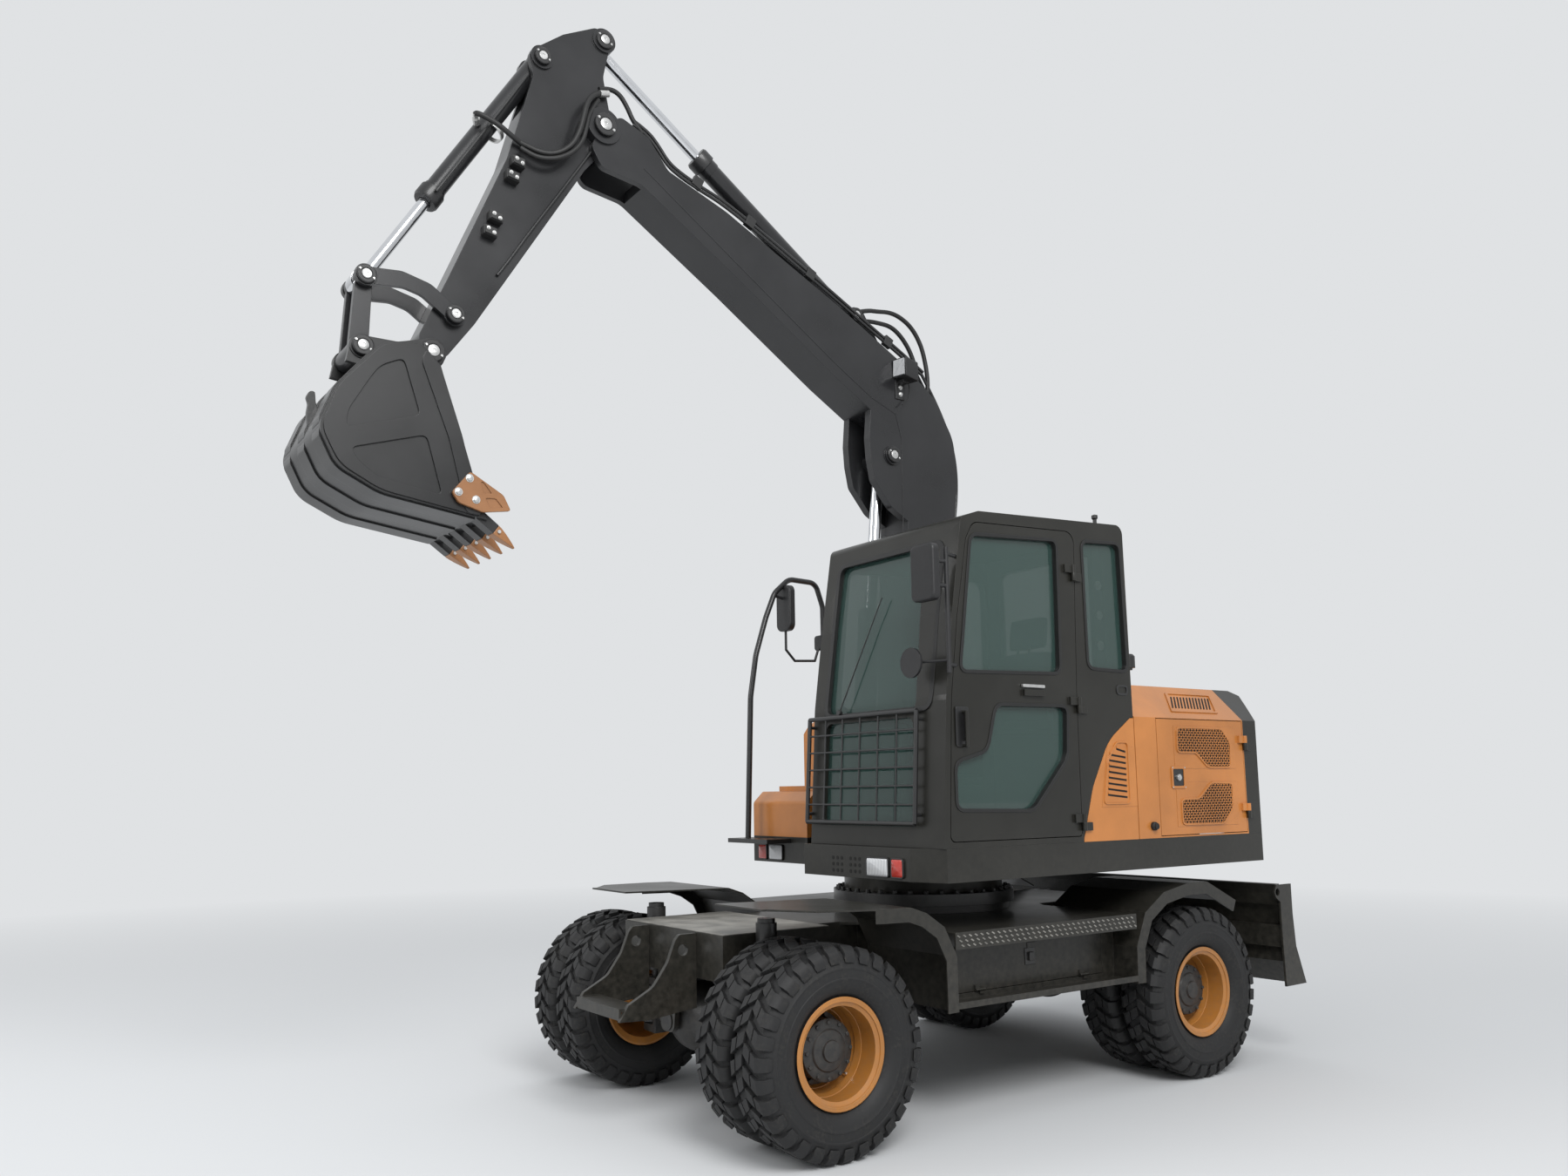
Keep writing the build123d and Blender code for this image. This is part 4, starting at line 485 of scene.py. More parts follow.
def half_tread(hand):
    """All the blocks on one side of the tyre's middle."""
    blocks = []
    for stations in (
        ((0.0035, 0.4323, 0.410, 0.022), (0.024, 0.4325, 0.410, 0.026), (0.046, 0.4325, 0.410, 0.024)),
        (
            (0.0535, 0.4325, 0.408, 0.025), (0.084, 0.4312, 0.402, LUG_HALF),
            (0.104, 0.418, 0.390, LUG_HALF),
            (0.1145, 0.400, 0.380, LUG_HALF * 0.96), (0.1168, 0.372, 0.366, LUG_HALF * 0.85),
        ),
    ):
        block = tread_block(stations).mesh("tread_block")
        if hand < 0:
            block.transform(Matrix.Rotation(math.pi / LUGS, 4, "Y") @ Matrix.Diagonal((1, -1, 1, 1)))
        blocks.append(laid_out(block, rubber, LUGS, turn=(0, 2 * math.pi / LUGS, 0)))
    return blocks


def carcass():
    """The smooth rubber body under the tread, bead to bead."""
    section = [(reach, radius) for radius, reach in CARCASS]
    section += [(-reach, radius) for reach, radius in section[-2::-1]]
    made = Work()
    made.ring(section, Vector((0, 0, 0)), (0, 1, 0), 96)
    return made.mesh("carcass")


one_tyre = cleaned(joined("tyre", [carcass()] + half_tread(1) + half_tread(-1)), merge=False)
one_tyre.materials.clear()
one_tyre.materials.append(rubber)

WHEELS = ("front_left", "front_right", "rear_left", "rear_right")


def wheel_at(wheel):
    """A wheel's hub on the machine's middle plane, and its side: 1 left, -1 right."""
    x, _, z = ((a + b) / 2 for a, b in zip(*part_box("rims_" + wheel)))
    return Vector((x, slewing_axis[1], z)), 1 if wheel.endswith("left") else -1


for wheel in WHEELS:
    centre, side = wheel_at(wheel)
    pair = []
    for offset in TYRE_MIDDLES:
        copy = one_tyre.copy()
        copy.transform(Matrix.Translation(centre + Vector((0, side * offset, 0))))
        pair.append(copy)
    treaded = joined("tyres_treaded_" + wheel, pair)
    fit(treaded, rubber, "wheel_" + wheel, smooth=28, stands_for=["tyres_" + wheel])


# ---- rims and hubs
# Pressed steel rims in amber enamel, two to a hub, held by ten nuts on the hub's studs.  The
# hub is a black casting whose planetary cover is closed by twelve screws.
def wear(finish, *node_names):
    """The finish goes on these carried-over nodes."""
    for node_name in node_names:
        data = frame["nodes"][node_name].data
        data.materials.clear()
        data.materials.append(finish)
        for face in data.polygons:
            face.material_index = 0


def paint(name, colour, roughness, dust=0.25, peel=0.12, coat=0.25, chips=0.35, specular=0.5):
    """Sprayed machine paint: orange peel, faint patches, rubbed corners and road dust low down."""
    p = Finish(name)
    patches = p.noise(2.3, 5.0).between(0.35, 0.7)
    fine = p.noise(34.0, 3.0)
    low = (1 - p.height().between(0.25, 1.35)) * fine.between(0.3, 0.75) * dust
    rubbed = p.worn_edges(0.004) * p.noise(16.0, 3.0).between(0.35, 0.65) * chips
    lighter = tuple(min(1, c * 1.18 + 0.004) for c in colour)
    darker = tuple(c * 0.86 for c in colour)
    bright = tuple(min(1, c * 1.5 + 0.03) for c in colour)
    worn_body = p.mix(rubbed, p.mix(patches, darker, lighter), bright)
    colour_out = p.mix(low, worn_body, (0.17, 0.15, 0.125))
    rough = patches * 0.10 + low * 0.4 + (roughness - 0.04)
    skin = p.bump(p.noise(420.0, 1.0), peel, 0.0006, 0.0035)
    return p.surface(
        Base_Color=colour_out, Roughness=rough, Normal=skin, Coat_Weight=coat, Coat_Roughness=0.12,
        Specular_IOR_Level=specular,
    )


def mottled(name, waves, dark, light, rough=None, grain=None, **values):
    """A plain finish in faint patches of two shades.

    waves is (waves per metre, detail); rough adds a depth and a base, grain the figures of a bump.
    """
    p = Finish(name)
    if rough:
        values["Roughness"] = p.noise(*rough[:2]) * rough[2] + rough[3]
    if grain:
        values["Normal"] = p.bump(p.noise(*grain[:2]), *grain[2:])
    return p.surface(Base_Color=p.mix(p.noise(*waves), dark, light), **values)


amber = paint("rim_paint", (0.44, 0.175, 0.030), 0.36, dust=0.2, chips=0.1)
cast = paint("casting_black", (0.016, 0.016, 0.016), 0.50, dust=0.2, peel=0.5, coat=0.1)
zinc = mottled(
    "zinc_plate", (45.0, 3.0), (0.50, 0.50, 0.49), (0.74, 0.74, 0.73), rough=(90.0, 2.0, 0.15, 0.25),
    Metallic=0.85
)
for wheel in WHEELS:
    wear(amber, "rims_" + wheel)
    centre, side = wheel_at(wheel)
    out = (0, side, 0)
    hub = Work()
    hub.turned(
        [
            (0.846, 0.150), (0.852, 0.152), (0.866, 0.150), (0.868, 0.128), (0.928, 0.124), (0.932, 0.128),
            (0.945, 0.128), (0.949, 0.118), (0.952, 0.088), (0.960, 0.082), (0.966, 0.060), (0.968, 0.046),
            (0.978, 0.042), (0.981, 0.012), (0.981, 0.0),
        ],
        centre, out, 48,
    )
    cover = hub.mesh("hub_cover_" + wheel)
    bolt = Work().bolt(Vector((0.113, 0, 0)), (0, 1, 0), 0.009, 0.012).mesh("hub_bolt")
    bolts = laid_out(bolt, cast, 12, turn=(0, math.pi / 6, 0))
    nut = Work().bolt(Vector((0.139, 0, 0)), (0, 1, 0), 0.0125, 0.020).mesh("wheel_nut")
    nuts = laid_out(nut, cast, 10, turn=(0, math.pi / 5, 0))
    for ring_of, reach in ((bolts, 0.9465), (nuts, 0.866)):
        ring_of.transform(Matrix.Diagonal((1, side, 1, 1)))
        ring_of.transform(Matrix.Translation(centre + Vector((0, side * reach, 0))))
    fit(joined("hub_" + wheel, [cover, bolts, nuts]), cast, "wheel_" + wheel, smooth=30)
    steps = Work()
    for section in (
        [(1.029, 0.205), (1.0400, 0.207), (1.0400, 0.217), (1.029, 0.219)],
        [(0.900, 0.179), (0.912, 0.183), (0.935, 0.187), (0.940, 0.200), (0.900, 0.200)],
        [(0.852, 0.160), (0.866, 0.164), (0.872, 0.196), (0.852, 0.196)],
    ):
        steps.ring(section, centre, out, 64)
    fit(steps.mesh("rim_steps_" + wheel), amber, "wheel_" + wheel, smooth=30)
    valve = Work()
    for angle in (0.6, 3.9):
        foot = centre + Vector((0.168 * math.cos(angle), side * 0.845, 0.168 * math.sin(angle)))
        valve.turned([(0, 0.004), (0.012, 0.005), (0.055, 0.0035), (0.058, 0.005), (0.068, 0.005)], foot,
                     out, 12)
    fit(valve.mesh("valve_stems_" + wheel), zinc, "wheel_" + wheel)


# ---- axles and steering
# Cast axle beams, steering knuckles and the differential ball, all in black machine paint.
# The rods of the rams are hard-chromed steel.
black = paint("black_paint", (0.0125, 0.0125, 0.013), 0.42, dust=0.2)
chrome = mottled(
    "hard_chrome", (12.0, 2.0), (0.66, 0.67, 0.69), (0.80, 0.81, 0.83), rough=(60.0, 2.0, 0.1, 0.09),
    Metallic=1.0
)
slots = {part["node"]: part["material_slot"] for part in frame["record"]["subparts"]}


def all_in(slot_name):
    """The carried-over nodes that take their finish from one slot."""
    return [node_name for node_name, held in slots.items() if held == slot_name]


wear(cast, *all_in("cast"))
wear(black, *all_in("black_metal"))
wear(chrome, *all_in("chrome"))


def pipe(name, points, radius, finish, body):
    """A round line held at both ends: a smooth run through its places, closed at the ends."""
    line = bpy.data.curves.new(name, "CURVE")
    line.dimensions = "3D"
    line.bevel_depth = radius
    line.bevel_resolution = 2
    line.use_fill_caps = True
    line.resolution_u = 6
    run = line.splines.new("NURBS")
    run.points.add(len(points) - 1)
    for point, place in zip(run.points, points):
        point.co = (*place, 1)
    run.order_u = 3
    run.use_endpoint_u = True
    held = stood(name, line)
    data = bpy.data.meshes.new_from_object(held.evaluated_get(bpy.context.evaluated_depsgraph_get()))
    data.name = name
    bpy.data.objects.remove(held)
    return fit(cleaned(data), finish, body, smooth=50)


# ---- carrier
# A frame welded from plate, with chequered step decks and a toolbox on the left.  The slewing
# ring is held by a circle of hexagon screws, and the dozer blade hangs on links at the rear.
olive = paint("olive_charcoal_paint", (0.0150, 0.0145, 0.0115), 0.38, coat=0.15, specular=0.36)
wear(olive, *all_in("dark_paint"))
SLEW_BOLTS = 36
SLEW_BOLT_CIRCLE = 0.463
SLEW_RING_TOP = 0.965
ring_bolt = Work().bolt(Vector((0, SLEW_BOLT_CIRCLE, 0)), (0, 0, 1), 0.013, 0.018).mesh("slewing_ring_bolts")
ring_bolts = laid_out(ring_bolt, cast, SLEW_BOLTS, turn=(0, 0, 2 * math.pi / SLEW_BOLTS))
ring_bolts.transform(Matrix.Translation(spot(0, 0, SLEW_RING_TOP)))
ring_bolts.name = "slewing_ring_bolts"
fit(ring_bolts, cast, "carrier", smooth=30)
# The deck steel is painted paler than its own colour. Both shades carry a painted sheen that stands in for light
# from above on the flat decks and the head's top plate; the noise patches between them are scuffs.
deck_stain_and_sheen = Finish("worn_deck_paint_and_painted_sheen")
scuffs = deck_stain_and_sheen.noise(7.0, 6.0).between(0.35, 0.65)
deck_steel_and_painted_sheen = deck_stain_and_sheen.surface(
    Base_Color=deck_stain_and_sheen.mix(scuffs, (0.150, 0.145, 0.130), (0.290, 0.280, 0.255)),
    Roughness=scuffs * 0.2 + 0.42, Normal=deck_stain_and_sheen.bump(deck_stain_and_sheen.noise(300.0, 2.0), 0.2, 0.0006),
)
CHEQUERS = 34
DECK_CORNER = (-0.485, 1.030, 0.806)
SIDES = ((1, "left"), (-1, "right"))
for side, hand in SIDES:
    shape = [(-0.011, -0.003), (-0.004, -0.006), (0.011, 0.003), (0.004, 0.006)]
    lozenge = Work().sheet(shape, lambda a, b, level: Vector((a, level, b)), 0, side * 0.0022)
    raised = laid_out(
        lozenge.mesh("tread_lozenge"), olive, CHEQUERS, rows=3, step=(0.036, 0, 0),
        row_step=(0.012, 0, 0.021)
    )
    raised.transform(Matrix.Translation(spot(DECK_CORNER[0], side * DECK_CORNER[1], DECK_CORNER[2])))
    raised.name = "tread_pattern_" + hand
    fit(raised, deck_steel_and_painted_sheen, "carrier", smooth=20)
latch = Work()
latch.block((0.085, 0.155), (0.880, 0.884), (0.655, 0.735))
latch.block((0.105, 0.135), (0.884, 0.895), (0.675, 0.715))
fit(latch.mesh("toolbox_latch"), black, "toolbox_door", round_off=0.002)
head_plate = Work().block((1.005, 1.600), (-0.448, 0.448), (0.8655, 0.8690))
fit(head_plate.mesh("head_top_plate"), deck_steel_and_painted_sheen, "carrier", round_off=0.001)


# ---- house panels
# Hood, doors and tank covers pressed from sheet steel and sprayed orange.  The grilles are
# expanded mesh behind pressed frames; locks, lamps and lenses are bought-in pieces screwed on.
orange = paint("orange_paint", (0.52, 0.190, 0.040), 0.34, dust=0.05, chips=0.15)
wear(orange, *all_in("orange_paint"))
# Near-black sheets of painted shade: they stand for the dark seen through the grilles, the slots and the punched
# holes.
shade = mottled("painted_shade_behind_openings", (30.0, 4.0), (0.004, 0.004, 0.004), (0.012, 0.011, 0.010),
                Roughness=0.8)


def rounded(outline, radius, steps=4):
    """The outline with each corner turned into an arc, as points in order."""
    made = []
    count = len(outline)
    for i in range(count):
        before, here, after = (Vector(outline[(i + k) % count]) for k in (-1, 0, 1))
        a, b = before - here, after - here
        reach = min(radius, a.length * 0.45, b.length * 0.45)
        start, end = here + a.normalized() * reach, here + b.normalized() * reach
        for k in range(steps + 1):
            t = k / steps
            point = start * (1 - t) ** 2 + here * 2 * t * (1 - t) + end * t ** 2
            made.append((point.x, point.y))
    return made


def grown(outline, amount):
    """The outline moved outwards by an amount, whichever way round it runs."""
    count = len(outline)
    area = sum(
        outline[i][0] * outline[(i + 1) % count][1] - outline[(i + 1) % count][0] * outline[i][1]
        for i in range(count)
    )
    amount = amount if area > 0 else -amount
    moved = []
    for i in range(count):
        before, here, after = (Vector(outline[(i + k) % count]) for k in (-1, 0, 1))
        along_in, along_out = (here - before).normalized(), (after - here).normalized()
        first, second = Vector((along_in.y, -along_in.x)), Vector((along_out.y, -along_out.x))
        both_ways = (first + second).normalized()
        lift = amount / max(0.35, both_ways.dot(first))
        moved.append(tuple(here + both_ways * lift))
    return moved


def band(work, outer, inner, place, low, high):
    """A flat ring between two outlines, between two levels; place maps (a, b, level) to a point."""
    rings = [[place(*p, low) for p in outer], [place(*p, high) for p in outer],
             [place(*p, high) for p in inner], [place(*p, low) for p in inner]]
    return work.skin(rings)


def metres(points):
    """An outline given in millimetres, in metres."""
    return [(a / 1000, b / 1000) for a, b in points]


def mesh_wires(work, outline, pitch, thick, place, level):
    """Slanting strips both ways, clipped to an outline that they cross."""
    for lean in (1, -1):
        spans = [b * lean - a for a, b in outline]
        at = min(spans) + pitch / 2
        while at < max(spans):
            crossings = []
            for i in range(len(outline)):
                (a, b), (c, d) = outline[i], outline[(i + 1) % len(outline)]
                first, second = b * lean - a - at, d * lean - c - at
                if first * second < 0:
                    t = first / (first - second)
                    crossings.append((a + (c - a) * t, b + (d - b) * t))
            crossings.sort()
            for start, end in zip(crossings[::2], crossings[1::2]):
                side = Vector((1, lean)).normalized().orthogonal() * thick
                strip = [
                    (start[0] + side.x, start[1] + side.y), (end[0] + side.x, end[1] + side.y),
                    (end[0] - side.x, end[1] - side.y), (start[0] - side.x, start[1] - side.y),
                ]
                work.sheet(strip, place, level, level + 0.0016)
            at += pitch
    return work


GRILLES = (
    metres([(-862, 1802), (-1240, 1802), (-1312, 1730), (-1308, 1602), (-1110, 1602), (-1012, 1680),
            (-858, 1680)]),
    metres([(-1134, 1512), (-1312, 1508), (-1308, 1378), (-1222, 1300), (-874, 1304), (-874, 1426),
            (-1020, 1428)]),
)
DOOR_FACE = 1.0602


def on_side(face, side=1, middle=0.0):
    """Places on an upright side face: (ahead, up, level off the face); face is its distance from middle."""
    return lambda a, b, level: spot(a, middle + side * (face + level), b)


for side, hand in SIDES:
    on_door = on_side(DOOR_FACE, side)
    frames, backs, wires = Work(), Work(), Work()
    for low, high in ((1.287, 1.520), (1.590, 1.816)):
        field = oblong((-1.362, -0.832), (low, high))
        frames.sheet(field, on_door, 0, 0.0012)
    for grille in GRILLES:
        edge = rounded(grille, 0.022)
        band(frames, grown(edge, 0.009), edge, on_door, 0, 0.0075)
        # the back sheet behind the mesh is painted shade
        backs.sheet(grown(edge, 0.004), on_door, 0, 0.0024)
        mesh_wires(wires, edge, 0.0270, 0.0030, on_door, 0.0045)
    body = "service_door_" + hand
    fit(frames.mesh("grille_frames_" + hand), orange, body, round_off=0.003)
    fit(backs.mesh("grille_backs_" + hand), shade, body)
    fit(wires.mesh("grille_mesh_" + hand), orange, body, smooth=20)
    lock_plate, lock_hole, lock = Work(), Work(), Work()
    square = rounded(oblong((-0.912, -0.796), (1.486, 1.602)), 0.012)
    inner_square = rounded(oblong((-0.898, -0.810), (1.500, 1.588)), 0.008)
    band(lock_plate, square, inner_square, on_door, 0, 0.006)
    lock_hole.sheet(inner_square, on_door, 0, 0.002)
    lock.turned([(0, 0.017), (0.009, 0.017), (0.010, 0.012), (0.014, 0.012), (0.014, 0.0)],
                on_door(-0.854, 1.544, 0.002), (0, side, 0), 24)
    for a in (-0.905, -0.803):
        for b in (1.493, 1.595):
            lock.turned([(0, 0.004), (0.002, 0.004), (0.003, 0.0)], on_door(a, b, 0.006), (0, side, 0), 10)
    fit(lock_plate.mesh("lock_frame_" + hand), orange, body, round_off=0.0015)
    fit(lock_hole.mesh("lock_recess_" + hand), black, body)
    fit(lock.mesh("lock_barrel_" + hand), zinc, body)

# the slots along the hood's slanted shoulders, their dark fill painted shade
SHOULDER_LOW, SHOULDER_HIGH = Vector((1.060, 1.855)), Vector((0.880, 2.040))
for side, hand in SIDES:
    def on_shoulder(a, share, level, side=side):
        """a along the machine, share up the slant, level off its face."""
        foot = SHOULDER_LOW.lerp(SHOULDER_HIGH, share)
        off = Vector((0.185, 0.180)).normalized() * level
        return spot(a, side * (foot.x + off.x), foot.y + off.y)
    slots_here, frame_here = Work(), Work()
    outline_here = [(-0.885, 0.24), (-0.985, 0.76), (-1.350, 0.76), (-1.270, 0.24)]
    edge = rounded(outline_here, 0.02)
    wider = [(a + (0.012 if a > -1.1 else -0.012), b + (0.05 if b > 0.5 else -0.05)) for a, b in edge]
    band(frame_here, wider, edge, on_shoulder, 0.0002, 0.006)
    for i in range(13):
        a = -0.915 - i * 0.0272
        slot_here = [(a, 0.32), (a - 0.012, 0.32), (a - 0.012 - 0.075, 0.68), (a - 0.075, 0.68)]
        slots_here.sheet(slot_here, on_shoulder, 0.0002, 0.0014)
    fit(frame_here.mesh("shoulder_frame_" + hand), orange, "house", round_off=0.002)
    fit(slots_here.mesh("shoulder_slots_" + hand), shade, "house")

# the quarter panel's louvre and its rubber stop; the louvre's slots are filled with painted shade
on_panel = on_side(DOOR_FACE)
louvre_plate, louvre_slots, louvre_lips = Work(), Work(), Work()
cover = [(-0.5135, 1.400), (-0.5135, 1.700), (-0.300, 1.700), (-0.240, 1.400)]
louvre_plate.sheet(cover, on_panel, 0, 0.001)
louvre = rounded([(-0.372, 1.720), (-0.300, 1.628), (-0.262, 1.420), (-0.452, 1.420), (-0.452, 1.720)], 0.02)
band(louvre_plate, grown(louvre, 0.007), louvre, on_panel, 0, 0.006)
for i in range(9):
    level = 1.452 + i * 0.0285
    right_end = -0.290 - 0.0036 * i - (0.050 if i == 8 else 0.0)
    slot_line = [(-0.436, level - 0.010), (right_end, level + 0.004), (right_end, level + 0.013),
                 (-0.436, level - 0.001)]
    louvre_slots.sheet(slot_line, on_panel, 0, 0.0022)
    lip = [(a, b + 0.009) for a, b in slot_line]
    louvre_lips.sheet(lip, on_panel, 0, 0.0055)
fit(louvre_plate.mesh("louvre_frame"), orange, "house", round_off=0.002)
fit(louvre_slots.mesh("louvre_slots"), shade, "house")
fit(louvre_lips.mesh("louvre_lips"), orange, "house", round_off=0.001)
stop = Work().turned([(0, 0.022), (0.014, 0.022), (0.020, 0.016), (0.026, 0.016), (0.026, 0)],
                     on_panel(-0.631, 1.297, 0), (0, 1, 0), 24)
fit(stop.mesh("rubber_stop"), rubber, "house")

# working lamps, lenses and the front panel's punched holes, whose dark fill is painted shade
red_lens = mottled(
    "red_lens", (200.0, 1.0), (0.42, 0.020, 0.012), (0.62, 0.05, 0.03), Roughness=0.14, Coat_Weight=1.0,
    Coat_Roughness=0.03,
)
lens_finish = Finish("clear_lens")
across = lens_finish.node("ShaderNodeSeparateXYZ", None, {0: lens_finish.place()}, out="Y")
ribs = (across * 700.0).maths("SINE").between(-1.0, 1.0)
lens = lens_finish.surface(
    Base_Color=lens_finish.mix(ribs, (0.42, 0.43, 0.45), (0.86, 0.87, 0.88)), Roughness=0.12,
    Coat_Weight=1.0,
    Coat_Roughness=0.03, Normal=lens_finish.bump(ribs, 0.4, 0.001),
)
whites, reds, bezels, holes = Work(), Work(), Work(), Work()
for x, white, red in ((0.868, (0.582, 0.733), (0.759, 0.835)), (0.401, (-0.890, -0.760), (-1.000, -0.920))):
    for lamp, y in ((whites, white), (reds, red)):
        low, high = (1.103, 1.183)
        edge = rounded(oblong(y, (low, high)), 0.010)
        lamp.skin([[spot(x, *p) for p in edge], [spot(x + 0.008, *p) for p in edge],
                   [spot(x + 0.0125, *p) for p in grown(edge, -0.008)]], closed=False)
        band(bezels, grown(edge, 0.006), edge, lambda a, b, level, x=x: spot(x + level, a, b), 0, 0.010)
for middle in (0.350, 0.485):
    for row in range(3):
        for column in range(3):
            holes.turned([(0, 0.009), (0.0012, 0.009), (0.0012, 0.0)],
                         spot(0.8672, middle + (column - 1) * 0.034, 1.145 + (row - 1) * 0.030), (1, 0, 0),
                         12)
fit(whites.mesh("lamp_lenses_clear"), lens, "house", stands_for=["lamps"])
fit(reds.mesh("lamp_lenses_red"), red_lens, "house")
fit(bezels.mesh("lamp_bezels"), black, "house", round_off=0.001)
fit(holes.mesh("vent_holes"), shade, "house")


# ---- cab
# A cab welded from pressed steel, with green tinted glass bonded into black rubber seals.  A
# wiper, lift eyes and a beacon box are screwed on, and a cloth seat stands on its pedestal.
for node_name, width in (("cab_shell", 0.016), ("counterweight", 0.012), ("house_frame", 0.008)):
    pressed = frame["nodes"][node_name]
    weld = pressed.modifiers.new("weld", "WELD")
    weld.merge_threshold = 0.00002
    rounder = pressed.modifiers.new("rounded_edges", "BEVEL")
    rounder.width = width
    rounder.segments = 3
    rounder.limit_method = "ANGLE"
    rounder.angle_limit = math.radians(34)
    rounder.use_clamp_overlap = True
glass = Finish("green_glass").surface(
    Base_Color=(0.038, 0.078, 0.068), Roughness=0.02, Alpha=0.60, Coat_Weight=1.0, Coat_Roughness=0.02,
)
wear(glass, *all_in("glass"))
trim = mottled(
    "grained_plastic", (60.0, 4.0), (0.010, 0.010, 0.011), (0.020, 0.020, 0.021),
    grain=(700.0, 2.0, 0.3, 0.0004, 0.003), Roughness=0.45,
)
wear(trim, *all_in("trim"))
seal = mottled("window_seal", (40.0, 4.0), (0.006, 0.006, 0.006), (0.014, 0.014, 0.014), Roughness=0.5)
CAB_FACE = 1.0605
on_left = on_side(CAB_FACE)
UPPER_PANE = metres([(596, 2682), (8, 2716), (18, 2054), (690, 2035)])
LOWER_PANE = metres([(470, 1888), (-20, 1894), (-6, 1643), (240, 1395), (738, 1406), (738, 1620),
                     (535, 1672)])
QUARTER_PANE = metres([(-178, 2733), (-470, 2750), (-486, 2085), (-187, 2090)])
for name, panes, body in (("door", (UPPER_PANE, LOWER_PANE), "cab_door"),
                          ("quarter", (QUARTER_PANE,), "house")):
    seals = Work()
    for pane in panes:
        edge = rounded(pane, 0.045, 6)
        band(seals, grown(edge, 0.010), grown(edge, -0.007), on_left, -0.030, 0.004)
    fit(seals.mesh("window_seals_" + name), seal, body, round_off=0.002)
SCREEN_FOOT, SCREEN_HEAD = (0.7873, 1.872), (0.6717, 2.660)


def on_screen(a, b, level):
    """A point of the raked windscreen: a across the machine, b the height."""
    share = (b - SCREEN_FOOT[1]) / (SCREEN_HEAD[1] - SCREEN_FOOT[1])
    return spot(SCREEN_FOOT[0] + (SCREEN_HEAD[0] - SCREEN_FOOT[0]) * share + level, a, b)


screen = rounded(oblong((0.180, 0.960), (1.872, 2.660)), 0.06, 6)
seals = band(Work(), grown(screen, 0.014), grown(screen, -0.010), on_screen, -0.018, 0.006)
fit(seals.mesh("windscreen_seal"), seal, "house", round_off=0.002)

# the wiper, the latch in the rear quarter, roof eyes and the beacon box behind the cab
wiper = Work()
WIPER_FOOT, WIPER_TIP = (0.300, 1.885), (0.560, 2.450)
sweep = on_screen(*WIPER_TIP, 0) - on_screen(*WIPER_FOOT, 0)
wiper.turned([(0, 0.004), (0.62, 0.003), (0.62, 0)], on_screen(*WIPER_FOOT, 0.012), sweep, 8)
wiper.turned([(0, 0.014), (0.020, 0.014), (0.020, 0)], on_screen(*WIPER_FOOT, 0), (1, 0, 0.1), 16)
fit(wiper.mesh("windscreen_wiper"), black, "house")
details = Work()
oval = rounded(oblong((-0.478, -0.392), (1.962, 2.014)), 0.026, 6)
band(details, oval, grown(oval, -0.010), on_left, -0.004, 0.004)
details.turned([(0, 0.036), (0.060, 0.036), (0.072, 0.026), (0.072, 0)], spot(-0.565, 1.005, 2.112),
               (0, 0, 1), 24)
details.block((-0.575, -0.505), (0.985, 1.025), (2.100, 2.114))
for y in (0.170, 0.970):
    details.turned([(0, 0.010), (0.050, 0.010), (0.055, 0.016), (0.072, 0.016), (0.078, 0)],
                   spot(-0.400, y, 2.838), (0, 0, 1), 16)
details.block((-0.372, -0.300), (0.992, 1.020), (2.100, 2.735))
fit(details.mesh("cab_fittings"), black, "house", round_off=0.001)
knobs = Work()
for z in (2.215, 2.370, 2.525):
    knobs.turned([(0, 0.024), (0.006, 0.024), (0.009, 0.018), (0.009, 0)], spot(-0.336, 1.020, z),
                 (0, 1, 0), 20)
fit(knobs.mesh("post_knobs"), zinc, "house")
handle = Work()
handle.plate_y(rounded(oblong((0.655, 0.735), (1.690, 1.872)), 0.012),
               (1.060, 1.068))
handle.plate_y(rounded(oblong((0.668, 0.690), (1.715, 1.850)), 0.008),
               (1.068, 1.082))
fit(handle.mesh("door_handle"), black, "cab_door", round_off=0.002)
rail = Work()
rail.plate_y(rounded(oblong((0.150, 0.300), (1.975, 1.990)), 0.006),
             (1.062, 1.078))
fit(rail.mesh("door_grip"), zinc, "cab_door", round_off=0.002)

# the seat: crowned cushions on a pedestal, in coarse grey cloth with sewn edges
cloth_finish = Finish("seat_cloth")
warp = cloth_finish.node("ShaderNodeTexWave", {"wave_type": "BANDS"},
                         {"Vector": cloth_finish.place(), "Scale": 260.0}, out="Fac")
cloth = cloth_finish.surface(
    Base_Color=cloth_finish.mix(cloth_finish.noise(90.0, 4.0), (0.016, 0.017, 0.020), (0.040, 0.041, 0.047)),
    Roughness=0.9, Normal=cloth_finish.bump(warp + cloth_finish.noise(500.0), 0.4, 0.0006),
)


